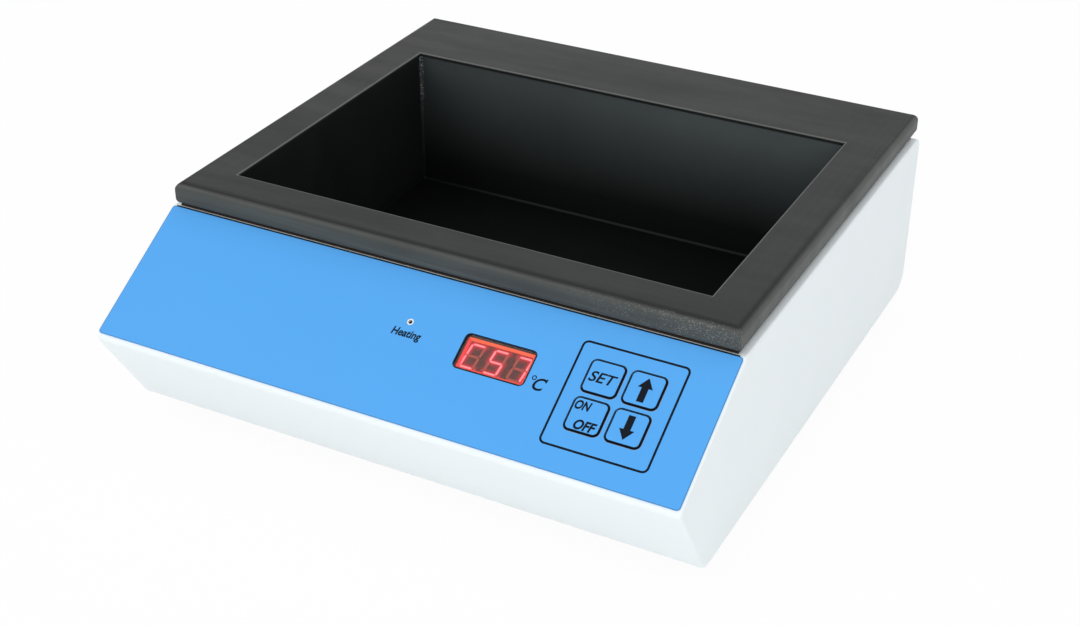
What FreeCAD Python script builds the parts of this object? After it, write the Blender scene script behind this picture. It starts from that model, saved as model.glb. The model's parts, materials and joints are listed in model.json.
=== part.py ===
import FreeCAD, Part
import math
import os

# Bench-top water bath: a black basin and rim in a white sheet-steel housing with a sloped front panel.
# Millimetres. +X is to the right seen from the front, +Y to the back, +Z up; z = 0 is the bench.
# The model is drawn with y = 0 under the middle of the rim, and moved along Y when it is saved, so that
# the origin lies under the middle of the overall depth.

# Screws and nuts; small fasteners and their holes have a few flat sides, to stay light
small_sides = 6
foot_sides = 24
round_sides = 16
screw_radius = 1.5
screw_head_rim = 0.7
screw_head_radius = 2.8
screw_head_height = 1.8
tight_gap = 0.05
free_gap = 0.2
nut_height = 3.2
nut_across = 7.0

# Base plate and feet
foot_height = 9.0
foot_radius = 10.0
foot_taper = 1.5
foot_edge = 1.2
foot_inset = 34.0
foot_recess_radius = 5.0
foot_recess_depth = 5.0
base_sheet = 1.2
base_border = 2.0
base_corner_radius = 6.0
vent_length = 30.0
vent_width = 3.0
vent_pitch = 9.0
vent_count = 8

# Housing
housing_width = 326.0
housing_height = 97.5
housing_sheet = 1.2
slope_run = 72.3
slope_drop = 42.7
chin_setback = 34.5
top_bend_radius = 1.6
nose_radius = 4.5
chin_radius = 10.0
back_low_radius = 12.0
back_top_radius = 4.5
side_edge_radius = 1.5
bottom_flange = 14.0
back_flange = 22.0

# Rim and basin
rim_width = 320.0
rim_depth = 268.0
rim_height = 13.0
rim_sheet = 2.0
rim_top_radius = 4.5
rim_low_radius = 3.5
rim_return = 12.0
rim_edge = 0.6
front_tuck = 0.8
back_tuck = 1.0
margin_side = 24.5
margin_front = 23.0
margin_back = 57.0
basin_depth = 85.0
basin_sheet = 1.2
basin_flange = 9.0
basin_lip = 0.4
basin_weld = 1.0
gasket_height = 1.0
gasket_width = 9.7
gasket_tuck = 1.8
basin_clearance = 4.5
rim_stud_radius = 2.0
rim_stud_length = 9.0
rim_stud_end = 40.0
rim_stud_rows = 3

# Front panel: x from the middle, s up the slope from the nose, depth inwards
overlay_sheet = 0.6
overlay_side_gap = 1.2
overlay_low_gap = 2.6
overlay_top_gap = 0.6
overlay_corner_radius = 2.0
overlay_lamp_gap = 0.3
key_width = 17.9
key_length = 17.7
key_corner_radius = 3.0
key_gap = 0.3
key_sheet = 0.5
key_lift = 0.7
keys_to_side = 49.45
keys_s = 43.7
key_pitch_x = 20.8
key_pitch_s = 20.5
window_to_keys = 65.55
window_s = 48.45
window_width = 38.2
window_length = 19.1
window_corner_radius = 2.5
window_sheet = 1.0
window_gap = 0.1
window_set_in = 0.2
display_width = 37.6
display_length = 18.6
display_height = 8.0
display_set_in = 3.9
display_wall = 0.8
lamp_to_window = 50.0
lamp_s = 55.3
lamp_radius = 1.5
lamp_flange = 0.4
lamp_flange_height = 1.0
lamp_nose = 0.7
lamp_length = 5.0
lamp_set_in = 0.9
lamp_gap = 0.1

# Control board
board_sheet = 1.6
board_past_lamp = 10.0
board_past_keys = 27.0
board_past_ribbon = 8.0
board_low = 14.0
board_high = 70.0
pillar_across = 5.5
pillar_bore_depth = 7.0
pillar_inset = 4.5
switch_size = 6.0
switch_height = 3.5
plunger_radius = 1.75
plunger_hole_radius = 3.0
plunger_gap = 0.08
plunger_bore_depth = 2.4
plunger_engaged = 1.6
chip_length = 20.0
chip_width = 7.2
chip_height = 3.3
chip_lift = 0.7
chip_pins = 8
chip_pin_pitch = 2.54
chip_pin_width = 0.5
buzzer_radius = 6.0
buzzer_height = 9.0
buzzer_hole_radius = 1.0

# Power board, in the front bay on the base plate
power_border = 4.0
power_end = 9.0
power_basin_gap = 4.0
spacer_radius = 3.0
spacer_gap = 1.5
spacer_height = 6.0
core_width = 41.0
core_height = 34.0
core_stack = 14.0
core_limb = 13.0
core_window = 7.0
winding_wall = 5.5
part_gap = 5.0
sink_width = 34.0
sink_height = 24.0
sink_base = 2.5
sink_fin = 1.2
sink_fins = 6
sink_depth = 14.0
sink_from_edge = 3.0
tab_plate_width = 10.0
tab_plate_height = 15.5
tab_plate_sheet = 1.3
triac_height = 9.0
triac_depth = 4.4
triac_lift = 5.0
triac_leg = 0.8
triac_leg_pitch = 2.54
capacitor_radius = 5.0
capacitor_height = 16.0
pole_pitch = 7.5
pole_count = 5
terminal_depth = 12.0
terminal_height = 14.0
terminal_slope = 3.0
entry_size = 4.0
entry_lift = 2.0
entry_depth = 5.0

# Heater pack under the basin
heater_border_x = 22.0
heater_border_y = 20.0
heater_sheet = 1.5
insulation_height = 8.0
clamp_sheet = 1.2
clamp_overlap = 10.0
clamp_stud_radius = 2.0
thermostat_radius = 8.0
thermostat_height = 6.0
thermostat_neck = 5.0
thermostat_lift = 22.0
blade_width = 6.3
blade_sheet = 0.8
blade_length = 12.0
sensor_radius = 2.0
sensor_length = 32.0
sensor_x = 40.0
sensor_lift = 12.0
clip_width = 10.0
clip_sheet = 0.8
clip_foot = 5.0

# Mains inlet, in the back wall
inlet_to_side = 55.0
inlet_z = 58.0
inlet_width = 50.0
inlet_height = 33.0
inlet_plate = 3.0
inlet_corner_radius = 3.0
inlet_body_width = 28.4
inlet_body_depth = 27.0
inlet_gap = 0.25
inlet_body_height = 30.0
inlet_hole_pitch = 40.0
inlet_screw_length = 12.0
socket_width = 24.6
socket_height = 16.7
socket_depth = 17.0
socket_chamfer = 4.2
socket_rise = 4.6
pin_width = 2.0
pin_height = 4.0
pin_pitch = 14.0
pin_row_gap = 4.0
pin_set_in = 2.0
earth_pin_ahead = 0.6
tab_length = 8.0
drawer_width = 22.0
drawer_height = 6.8
drawer_depth = 22.0
drawer_gap = 0.3
drawer_drop = 9.9
drawer_lip = 1.2
drawer_lip_width = 24.0
drawer_lip_height = 7.8
drawer_wall = 0.8
drawer_face = 4.0
drawer_notch_width = 8.0
drawer_notch_height = 1.5
drawer_notch_depth = 0.7
fuse_row_gap = 3.0
fuse_radius = 2.5
fuse_length = 20.0
fuse_gap = 0.1

# Protective earth and wiring
earth_to_inlet = 45.0
earth_stud_length = 16.0
earth_nut_gap = 1.2
lead_radius = 2.2
lead_bend = 6.0
lead_side_gap = 12.0
lead_front_gap = 7.0
lead_drop = 10.0
wire_radius = 1.1
wire_bend = 8.0
ribbon_width = 12.0
ribbon_sheet = 0.9
ribbon_bend = 3.0
ribbon_s = 20.0
ribbon_from_edge = 4.0
ribbon_rise = 22.0
ribbon_socket_depth = 5.0
ribbon_socket_height = 6.0
bend_steps = 3

# Places worked out from the sizes
housing_low = foot_height + base_sheet
housing_top = housing_low + housing_height
rim_low = housing_top + gasket_height
rim_top = rim_low + rim_height
rim_front = -rim_depth / 2
rim_back = rim_depth / 2
slope_top_y = rim_front + front_tuck
nose_y = slope_top_y - slope_run
nose_z = housing_top - slope_drop
chin_low_y = nose_y + chin_setback
back_y = rim_back - back_tuck
slope_angle = math.atan2(slope_drop, slope_run)
slope_length = math.hypot(slope_run, slope_drop)
chin_turn = math.atan2(nose_z - housing_low, chin_setback)
flat_front = chin_low_y + chin_radius * math.tan(chin_turn / 2)
flat_back = back_y - back_low_radius
flat_side = housing_width / 2 - side_edge_radius
keys_x = housing_width / 2 - keys_to_side
window_x = keys_x - window_to_keys
lamp_x = window_x - lamp_to_window
board_right = keys_x + board_past_keys
open_side = rim_width / 2 - margin_side
open_front = rim_front + margin_front
open_back = rim_back - margin_back
inner_side = open_side + basin_lip
inner_front = open_front - basin_lip
inner_back = open_back + basin_lip
basin_floor = rim_top - basin_depth
basin_under = basin_floor - basin_sheet
power_left = -flat_side + bottom_flange + spacer_radius + spacer_gap - power_border
core_x = power_left + power_end + core_width / 2
sink_x = core_x + core_width / 2 + part_gap + sink_width / 2
capacitor_x = sink_x + sink_width / 2 + part_gap + capacitor_radius
terminal_left = capacitor_x + capacitor_radius + part_gap
terminal_right = terminal_left + pole_pitch * pole_count
power_right = terminal_right + power_end
ribbon_left = terminal_right - ribbon_width
board_left = min(lamp_x - board_past_lamp, ribbon_left - board_past_ribbon)
power_front = flat_front + bottom_flange + spacer_radius + spacer_gap - power_border
power_back = inner_front - basin_sheet - power_basin_gap
power_middle = (power_front + power_back) / 2
power_face = housing_low + spacer_height + board_sheet
board_face = -(display_set_in + display_height)
board_rear = board_face - board_sheet
inlet_x = housing_width / 2 - inlet_to_side
inlet_face = back_y + inlet_plate
inlet_end = back_y - inlet_body_depth
rear_y = inlet_face + drawer_gap + drawer_lip
earth_x = inlet_x - earth_to_inlet
earth_y = (inner_back + flat_back - bottom_flange) / 2


def vec(x, y, z):
    return FreeCAD.Vector(x, y, z)


def box(x0, x1, y0, y1, z0, z1):
    return Part.makeBox(x1 - x0, y1 - y0, z1 - z0, vec(x0, y0, z0))


def polygon(x, y, z, radius, sides):
    """Closed level outline with flat sides and its corners on a circle."""
    turns = [2 * math.pi * i / sides for i in range(sides + 1)]
    return Part.makePolygon([vec(x + radius * math.cos(a), y + radius * math.sin(a), z) for a in turns])


def peg(x, y, z, radius, length, sides=small_sides):
    """Upright prism for a small round piece or hole."""
    return Part.Face(polygon(x, y, z, radius, sides)).extrude(vec(0, 0, length))


def peg_along_y(x, y, z, radius, length):
    """The same prism lying along Y, from y on."""
    lying = peg(0, 0, 0, radius, length)
    lying.rotate(vec(0, 0, 0), vec(1, 0, 0), -90)
    lying.translate(vec(x, y, z))
    return lying


def turned(x, y, z, profile, sides, closed=False):
    """Upright many-sided solid from (radius, height) points, from the axis out and back, or a closed ring."""
    turns = [2 * math.pi * i / sides for i in range(sides + 1)]
    rings = [[vec(x + r * math.cos(a), y + r * math.sin(a), z + h) for a in turns] for r, h in profile]
    pairs = list(zip(rings, rings[1:]))
    if closed:
        pairs.append((rings[-1], rings[0]))
    faces = []
    for low, high in pairs:
        for i in range(sides):
            corners = [low[i], low[i + 1], high[i + 1], high[i]]
            loop = [c for k, c in enumerate(corners) if c.distanceToPoint(corners[k - 1]) > 1e-6]
            faces.append(Part.Face(Part.makePolygon(loop + loop[:1])))
    return Part.Solid(Part.makeShell(faces)).removeSplitter()


def hex_nut(x, y, z, bore):
    """Hexagon nut with its flat faces at z and z + nut_height."""
    body = peg(x, y, z, nut_across / math.sqrt(3), nut_height, 6)
    return body.cut(peg(x, y, z - 1, bore, nut_height + 2))


def pan_screw(x, y, z, length):
    """Screw pointing up: its shank starts at z and its head, narrower at the end, hangs below."""
    profile = [(0, -screw_head_height), (screw_head_radius - screw_head_rim, -screw_head_height),
               (screw_head_radius, screw_head_rim - screw_head_height), (screw_head_radius, 0),
               (screw_radius, 0), (screw_radius, length), (0, length)]
    return turned(x, y, z, profile, small_sides)


def rounded_route(route, bend):
    """Points of a route whose corners are rounded by short straight steps on an arc."""
    path = [route[0]]
    for before, corner, after in zip(route, route[1:], route[2:]):
        to_last = (before - corner).normalize()
        to_next = (after - corner).normalize()
        half = to_last.getAngle(to_next) / 2
        middle = corner + (to_last + to_next).normalize() * (bend / math.sin(half))
        arm = corner + to_last * (bend / math.tan(half)) - middle
        step = math.degrees(math.pi - 2 * half) / bend_steps
        axis = to_next.cross(to_last)
        path += [middle + FreeCAD.Rotation(axis, step * i).multVec(arm) for i in range(bend_steps + 1)]
    return path + [route[-1]]


def tube_along(route, bend, outline):
    """Solid carried along a route from an outline of points round its start, mitred at each step."""
    path = rounded_route(route, bend)
    rings = [outline]
    for i in range(1, len(path)):
        ahead = (path[i] - path[i - 1]).normalize()
        beyond = (path[min(i + 1, len(path) - 1)] - path[i])
        across = (ahead + beyond.normalize()).normalize() if beyond.Length > 0 else ahead
        rings.append([p + ahead * ((path[i] - p).dot(across) / ahead.dot(across)) for p in rings[-1]])
    count = len(outline)
    faces = [Part.Face(Part.makePolygon(ring + ring[:1])) for ring in (rings[0], rings[-1])]
    for low, high in zip(rings, rings[1:]):
        for i in range(count):
            corners = [low[i - 1], low[i], high[i], high[i - 1]]
            faces.append(Part.Face(Part.makePolygon(corners + corners[:1])))
    return Part.Solid(Part.makeShell(faces))


def round_outline(middle, radius):
    """Six points round a place, in the upright plane across Y."""
    turns = [2 * math.pi * i / small_sides for i in range(small_sides)]
    return [middle + vec(radius * math.cos(a), 0, radius * math.sin(a)) for a in turns]


def edges_at(solid, z):
    """Edges that lie wholly at height z."""
    found = []
    for edge in solid.Edges:
        limits = edge.BoundBox
        if abs(limits.ZMin - z) < 1e-3 and abs(limits.ZMax - z) < 1e-3:
            found.append(edge)
    return found


def rounded_loop(corners, radii):
    """Closed wire through coplanar corners, each rounded by an arc of its own radius."""
    count = len(corners)
    arcs = []
    for i in range(count):
        corner = corners[i]
        to_last = (corners[i - 1] - corner).normalize()
        to_next = (corners[(i + 1) % count] - corner).normalize()
        half = to_last.getAngle(to_next) / 2
        reach = radii[i] / math.tan(half)
        middle = (to_last + to_next).normalize()
        crown = corner + middle * (radii[i] / math.sin(half) - radii[i])
        arcs.append((corner + to_last * reach, crown, corner + to_next * reach))
    edges = []
    for i in range(count):
        start, crown, finish = arcs[i]
        following = arcs[(i + 1) % count][0]
        edges.append(Part.Arc(start, crown, finish).toShape())
        if finish.distanceToPoint(following) > 1e-6:
            edges.append(Part.LineSegment(finish, following).toShape())
    return Part.Wire(edges)


def rounded_plate(x0, x1, y0, y1, z0, z1, radius):
    """Flat plate with rounded upright edges."""
    corners = [vec(x0, y0, z0), vec(x1, y0, z0), vec(x1, y1, z0), vec(x0, y1, z0)]
    return Part.Face(rounded_loop(corners, [radius] * 4)).extrude(vec(0, 0, z1 - z0))


def on_panel(shape):
    """Move a piece drawn flat (x, s, height over the panel) onto the slope."""
    placed = shape.copy()
    placed.rotate(vec(0, 0, 0), vec(1, 0, 0), math.degrees(slope_angle))
    placed.translate(vec(0, nose_y, nose_z))
    return placed


def panel_point(x, s, height):
    return on_panel(Part.Vertex(x, s, height)).Point


def inset_loop(points, distance):
    """Corners of a convex outline moved inwards; points are (y, z), anticlockwise seen from +X."""
    count = len(points)
    moved = []
    for i in range(count):
        before, here, after = points[i - 1], points[i], points[(i + 1) % count]
        ay, az = here[0] - before[0], here[1] - before[1]
        by, bz = after[0] - here[0], after[1] - here[1]
        la, lb = math.hypot(ay, az), math.hypot(by, bz)
        na, nb = (-az / la, ay / la), (-bz / lb, by / lb)
        share = distance / (1 + na[0] * nb[0] + na[1] * nb[1])
        moved.append((here[0] + share * (na[0] + nb[0]), here[1] + share * (na[1] + nb[1])))
    return moved


# Housing

def housing_form(inset):
    """The housing's outer form, or with an inset the space that its sheet encloses.

    Only the outer form has its side edges rounded.
    """
    points = [(nose_y, nose_z), (chin_low_y, housing_low), (back_y, housing_low),
              (back_y, housing_top), (slope_top_y, housing_top)]
    radii = [nose_radius, chin_radius, back_low_radius, back_top_radius, top_bend_radius]
    half = housing_width / 2 - inset
    corners = [vec(-half, y, z) for y, z in inset_loop(points, inset)]
    form = Part.Face(rounded_loop(corners, [r - inset for r in radii])).extrude(vec(2 * half, 0, 0))
    if inset > 0:
        return form
    return form.makeFillet(side_edge_radius, [edge for edge in form.Edges if edge.BoundBox.XLength < 1e-3])


def key_centres():
    """Panel places of the keys by name."""
    left, right = keys_x - key_pitch_x / 2, keys_x + key_pitch_x / 2
    low, high = keys_s - key_pitch_s / 2, keys_s + key_pitch_s / 2
    return {"set": (left, high), "up": (right, high), "on_off": (left, low), "down": (right, low)}


def window_plate(grow, low, high):
    """Rounded rectangle round the display window, grown on all sides."""
    half_x, half_s = window_width / 2 + grow, window_length / 2 + grow
    return rounded_plate(window_x - half_x, window_x + half_x, window_s - half_s, window_s + half_s,
                         low, high, window_corner_radius + grow)


def foot_places():
    side = housing_width / 2 - foot_inset
    front, back = chin_low_y + foot_inset, back_y - foot_inset
    return {"front_left": (-side, front), "front_right": (side, front),
            "back_left": (-side, back), "back_right": (side, back)}


def base_screw_places():
    side = flat_side - bottom_flange / 2
    front, back = flat_front + bottom_flange / 2, flat_back - bottom_flange / 2
    middle = (front + back) / 2
    return [(-side, front), (0, front), (side, front), (-side, middle), (side, middle),
            (-side, back), (0, back), (side, back)]


def rim_stud_places():
    side = rim_width / 2 - (rim_low_radius + rim_return) / 2
    first, last = rim_front + rim_stud_end, rim_back - rim_stud_end
    step = (last - first) / (rim_stud_rows - 1)
    return [(x, first + step * i) for x in (-side, side) for i in range(rim_stud_rows)]


def make_housing():
    shell = housing_form(0).cut(housing_form(housing_sheet))
    reach = inner_side + basin_sheet + basin_clearance
    top_hole = box(-reach, reach, inner_front - basin_sheet - basin_clearance, back_y - back_flange,
                   housing_top - 2 * housing_sheet, housing_top + 1)
    bottom_hole = box(-flat_side + bottom_flange, flat_side - bottom_flange,
                      flat_front + bottom_flange, flat_back - bottom_flange,
                      housing_low - 1, housing_low + 2 * housing_sheet)
    cuts = [top_hole, bottom_hole]
    cuts += [peg(x, y, housing_low - 1, screw_radius + tight_gap, 4) for x, y in base_screw_places()]
    cuts += [peg(x, y, housing_top - 3, rim_stud_radius + free_gap, 4) for x, y in rim_stud_places()]
    cuts.append(on_panel(window_plate(0, -3 * housing_sheet, 1)))
    cuts.append(on_panel(peg(lamp_x, lamp_s, -4, lamp_radius + lamp_gap, 5, round_sides)))
    cuts += [on_panel(peg(x, s, -4, plunger_hole_radius, 5)) for x, s in key_centres().values()]
    cuts.append(inlet_body_block(inlet_gap))
    cuts += [peg_along_y(x, back_y - 4, inlet_z, screw_radius + free_gap, 5) for x in inlet_screw_x()]
    return shell.cut(Part.makeCompound(cuts))


def make_base_plate():
    low = foot_height
    plate = rounded_plate(-flat_side + base_border, flat_side - base_border,
                          flat_front + base_border, flat_back - base_border,
                          low, low + base_sheet, base_corner_radius)
    screws = base_screw_places() + list(foot_places().values()) + power_screw_places()
    cuts = [peg(x, y, low - 1, screw_radius + free_gap, 4) for x, y in screws]
    cuts.append(peg(earth_x, earth_y, low - 1, rim_stud_radius, 4))
    front = flat_front + 2 * bottom_flange
    back = flat_back - 2 * bottom_flange - vent_length
    for y in (front, back):
        for i in range(vent_count):
            x = vent_pitch * (i - (vent_count - 1) / 2)
            half = vent_width / 2
            cuts.append(box(x - half, x + half, y, y + vent_length, low - 1, low + 3))
    return plate.cut(Part.makeCompound(cuts))


def make_foot(x, y):
    """Tapered rubber foot with a recess for its screw head."""
    tread = foot_radius - foot_taper - foot_edge
    bore = screw_radius + free_gap
    profile = [(foot_recess_radius, 0), (tread, 0), (tread + foot_edge, foot_edge),
               (foot_radius, foot_height), (bore, foot_height), (bore, foot_recess_depth),
               (foot_recess_radius, foot_recess_depth)]
    return turned(x, y, 0, profile, foot_sides, closed=True)


def make_foot_screws():
    reach = foot_height - foot_recess_depth + base_sheet + nut_height + 1
    return [pan_screw(x, y, foot_recess_depth, reach) for x, y in foot_places().values()]


def make_foot_nuts():
    return [hex_nut(x, y, housing_low, screw_radius + tight_gap) for x, y in foot_places().values()]


def make_base_screws():
    return [pan_screw(x, y, foot_height, base_sheet + housing_sheet + 3) for x, y in base_screw_places()]


# Rim, gasket and basin

def rim_form():
    """The rim's outer form: two rounded bars crossed, so that its corners are mitred."""
    radii = [rim_low_radius, rim_low_radius, rim_top_radius, rim_top_radius]
    half = rim_width / 2
    along = [vec(-half, y, z) for y, z in ((rim_front, rim_low), (rim_back, rim_low),
                                           (rim_back, rim_top), (rim_front, rim_top))]
    across = [vec(x, rim_front, z) for x, z in ((-half, rim_low), (half, rim_low),
                                                (half, rim_top), (-half, rim_top))]
    bar_x = Part.Face(rounded_loop(along, radii)).extrude(vec(rim_width, 0, 0))
    bar_y = Part.Face(rounded_loop(across, radii)).extrude(vec(0, rim_depth, 0))
    return bar_x.common(bar_y)


def rim_hollow():
    inset = rim_sheet
    return box(-rim_width / 2 + inset, rim_width / 2 - inset, rim_front + inset, rim_back - inset,
               rim_low + inset, rim_top - inset)


def make_top_rim():
    """Box-section rim: deck, skirt and a return flange that lies on the gasket."""
    rim = rim_form().cut(rim_hollow())
    under = box(-rim_width / 2 + rim_return, rim_width / 2 - rim_return, rim_front + rim_return,
                rim_back - rim_return, rim_low - 1, rim_low + rim_sheet + 1)
    opening = box(-open_side, open_side, open_front, open_back, rim_top - 2 * rim_sheet, rim_top + 1)
    rim = rim.cut(under).cut(opening)
    lip = []
    for edge in edges_at(rim, rim_top):
        limits = edge.BoundBox
        if limits.XMax <= open_side + 1e-3 and limits.XMin >= -open_side - 1e-3:
            if limits.YMin >= open_front - 1e-3 and limits.YMax <= open_back + 1e-3:
                lip.append(edge)
    return rim.makeChamfer(rim_edge, lip)


def make_basin():
    """Welded tray whose flange is fixed under the rim's deck."""
    seat = rim_top - rim_sheet
    flange = box(-inner_side - basin_flange, inner_side + basin_flange, inner_front - basin_flange,
                 inner_back + basin_flange, seat - basin_sheet, seat)
    outer = tray_form(basin_sheet, seat)
    inner = tray_form(0, seat + 1)
    return flange.fuse(outer).cut(inner).removeSplitter()


def tray_form(grow, top):
    """The space inside the basin with its welded corners, or with a growth the outer form."""
    form = box(-inner_side - grow, inner_side + grow, inner_front - grow, inner_back + grow,
               basin_floor - grow, top)
    if grow > 0:
        return form
    upright = [edge for edge in form.Edges if edge.BoundBox.ZLength > 1]
    return form.makeChamfer(basin_weld, upright + edges_at(form, basin_floor))


def make_gasket():
    """Flat foam ring between the housing's top and the rim's return flange."""
    inner = gasket_tuck + gasket_width
    ring = box(-rim_width / 2 + gasket_tuck, rim_width / 2 - gasket_tuck, rim_front + gasket_tuck,
               back_y - back_top_radius, housing_top, rim_low)
    hole = box(-rim_width / 2 + inner, rim_width / 2 - inner, rim_front + inner, rim_back - inner,
               housing_top - 1, rim_low + 1)
    studs = [peg(x, y, housing_top - 1, rim_stud_radius + tight_gap, gasket_height + 2)
             for x, y in rim_stud_places()]
    return ring.cut(hole).cut(Part.makeCompound(studs))


def make_rim_studs():
    return [peg(x, y, rim_low - rim_stud_length, rim_stud_radius, rim_stud_length)
            for x, y in rim_stud_places()]


def make_rim_nuts():
    seat = housing_top - housing_sheet - nut_height
    return [hex_nut(x, y, seat, rim_stud_radius + tight_gap) for x, y in rim_stud_places()]


# Front panel, drawn flat and laid on the slope

def key_plate(x, s, shrink, low, high):
    half_x, half_s = key_width / 2 - shrink, key_length / 2 - shrink
    return rounded_plate(x - half_x, x + half_x, s - half_s, s + half_s, low, high,
                         key_corner_radius - shrink)


def make_overlay():
    side = housing_width / 2 - overlay_side_gap
    film = rounded_plate(-side, side, overlay_low_gap, slope_length - overlay_top_gap,
                         0, overlay_sheet, overlay_corner_radius)
    cuts = [key_plate(x, s, 0, -1, 2) for x, s in key_centres().values()]
    cuts.append(window_plate(0, -1, 2))
    cuts.append(peg(lamp_x, lamp_s, -1, lamp_radius + overlay_lamp_gap, 3, round_sides))
    return on_panel(film.cut(Part.makeCompound(cuts)))


def make_key(place):
    return on_panel(key_plate(place[0], place[1], key_gap, key_lift, key_lift + key_sheet))


def make_plunger(place):
    low = board_face + switch_height - plunger_engaged
    return on_panel(peg(place[0], place[1], low, plunger_radius, key_lift - low))


def make_tact_switches():
    bodies = []
    half = switch_size / 2
    for x, s in key_centres().values():
        body = box(x - half, x + half, s - half, s + half, board_face, board_face + switch_height)
        bore = peg(x, s, board_face + switch_height - plunger_bore_depth,
                   plunger_radius + plunger_gap, plunger_bore_depth + 1)
        bodies.append(on_panel(body.cut(bore)))
    return bodies


def make_window():
    """Red filter set into the cut-out, seated in the housing's sheet."""
    return on_panel(window_plate(-window_gap, -window_set_in - window_sheet, -window_set_in))


def make_display():
    """Three-digit display block with a raised rim round its face."""
    half_x, half_s = display_width / 2, display_length / 2
    top = -window_set_in - window_sheet
    block = box(window_x - half_x, window_x + half_x, window_s - half_s, window_s + half_s,
                board_face, top)
    half_x, half_s = half_x - display_wall, half_s - display_wall
    well = box(window_x - half_x, window_x + half_x, window_s - half_s, window_s + half_s,
               -display_set_in, top + 1)
    return on_panel(block.cut(well))


def make_lamp():
    """Small indicator lamp: flange, body and narrowed nose, turned about its axis."""
    flange = lamp_radius + lamp_flange
    profile = [(0, 0), (flange, 0), (flange, lamp_flange_height), (lamp_radius, lamp_flange_height),
               (lamp_radius, lamp_length - lamp_nose), (lamp_radius - lamp_nose, lamp_length),
               (0, lamp_length)]
    return on_panel(turned(lamp_x, lamp_s, -lamp_set_in - lamp_length, profile, round_sides))


def make_lamp_spacer():
    low = -lamp_set_in - lamp_length
    outer = peg(lamp_x, lamp_s, board_face, lamp_radius + lamp_flange, low - board_face)
    return on_panel(outer.cut(peg(lamp_x, lamp_s, board_face - 1, lamp_radius / 2, low - board_face + 2)))


def pillar_places():
    left, right = board_left + pillar_inset, board_right - pillar_inset
    low, high = board_low + pillar_inset, board_high - pillar_inset
    middle = (window_x + window_width / 2 + key_centres()["set"][0] - key_width / 2) / 2
    return [(x, s) for x in (left, middle, right) for s in (low, high)]


def make_control_board():
    plate = box(board_left, board_right, board_low, board_high, board_rear, board_face)
    holes = [peg(x, s, board_rear - 1, screw_radius + free_gap, board_sheet + 2)
             for x, s in pillar_places()]
    return on_panel(plate.cut(Part.makeCompound(holes)))


def make_pillars():
    """Hexagonal pillars between the housing's sheet and the board, bored for the screws."""
    pillars = []
    for x, s in pillar_places():
        pillar = peg(x, s, board_face, pillar_across / math.sqrt(3), -housing_sheet - board_face, 6)
        bore = peg(x, s, board_face - 1, screw_radius + tight_gap, pillar_bore_depth + 1)
        pillars.append(on_panel(pillar.cut(bore)))
    return pillars


def make_control_chip():
    """Dual in-line chip on the board's inner face."""
    x, s = (board_left + window_x) / 2, (board_low + board_high) / 2
    half_x, half_s, half_pin = chip_length / 2, chip_width / 2, chip_pin_width / 2
    low = board_rear - chip_lift - chip_height
    chip = box(x - half_x, x + half_x, s - half_s, s + half_s, low, low + chip_height)
    pins = []
    for i in range(chip_pins):
        px = x + chip_pin_pitch * (i - (chip_pins - 1) / 2)
        for side in (s - half_s, s + half_s):
            pins.append(box(px - half_pin, px + half_pin, side - half_pin, side + half_pin,
                            low + chip_height / 2, board_rear))
    return on_panel(chip.multiFuse(pins))


def make_buzzer():
    """Sounder can with its sound hole."""
    low, s = board_rear - buzzer_height, (board_low + board_high) / 2
    can = peg(window_x, s, low, buzzer_radius, buzzer_height, round_sides)
    return on_panel(can.cut(peg(window_x, s, low - 1, buzzer_hole_radius, buzzer_height / 2)))


def make_board_screws():
    """Screws of both boards: into the pillars, and down through the spacers into the base plate."""
    screws = []
    for x, s in pillar_places():
        screws.append(on_panel(pan_screw(x, s, board_rear, board_sheet + 5)))
    for x, y in power_screw_places():
        screw = pan_screw(x, y, 0, spacer_height + board_sheet + base_sheet + 1)
        screw.rotate(vec(x, y, 0), vec(1, 0, 0), 180)
        screw.translate(vec(0, 0, power_face))
        screws.append(screw)
    return screws


# Power board

def power_screw_places():
    left, right = power_left + power_border, power_right - power_border
    front, back = power_front + power_border, power_back - power_border
    return [(x, y) for x in (left, right) for y in (front, back)]


def make_power_board():
    plate = box(power_left, power_right, power_front, power_back, power_face - board_sheet, power_face)
    holes = [peg(x, y, power_face - board_sheet - 1, screw_radius + free_gap, board_sheet + 2)
             for x, y in power_screw_places()]
    return plate.cut(Part.makeCompound(holes))


def make_spacers():
    spacers = []
    for x, y in power_screw_places():
        bore = peg(x, y, housing_low - 1, screw_radius + free_gap, spacer_height + 2)
        spacers.append(peg(x, y, housing_low, spacer_radius, spacer_height).cut(bore))
    return spacers


def make_core():
    """Stack of E and I plates with two windows for the winding."""
    x, y, low = core_x, power_middle, power_face
    stack = box(x - core_width / 2, x + core_width / 2, y - core_stack / 2, y + core_stack / 2,
                low, low + core_height)
    yoke = core_limb / 2
    for side in (-1, 1):
        middle = x + side * (core_limb + core_window) / 2
        stack = stack.cut(box(middle - core_window / 2, middle + core_window / 2, y - core_stack,
                              y + core_stack, low + yoke, low + core_height - yoke))
    return stack


def make_winding():
    """Bobbin with its coils round the middle limb."""
    x, y, yoke = core_x, power_middle, core_limb / 2
    low, high = power_face + yoke + free_gap, power_face + core_height - yoke - free_gap
    reach_x, reach_y = core_limb / 2 + winding_wall, core_stack / 2 + winding_wall
    coil = box(x - reach_x, x + reach_x, y - reach_y, y + reach_y, low, high)
    half_x, half_y = core_limb / 2 + free_gap, core_stack / 2 + free_gap
    limb = box(x - half_x, x + half_x, y - half_y, y + half_y, low - 1, high + 1)
    return coil.cut(limb)


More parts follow.
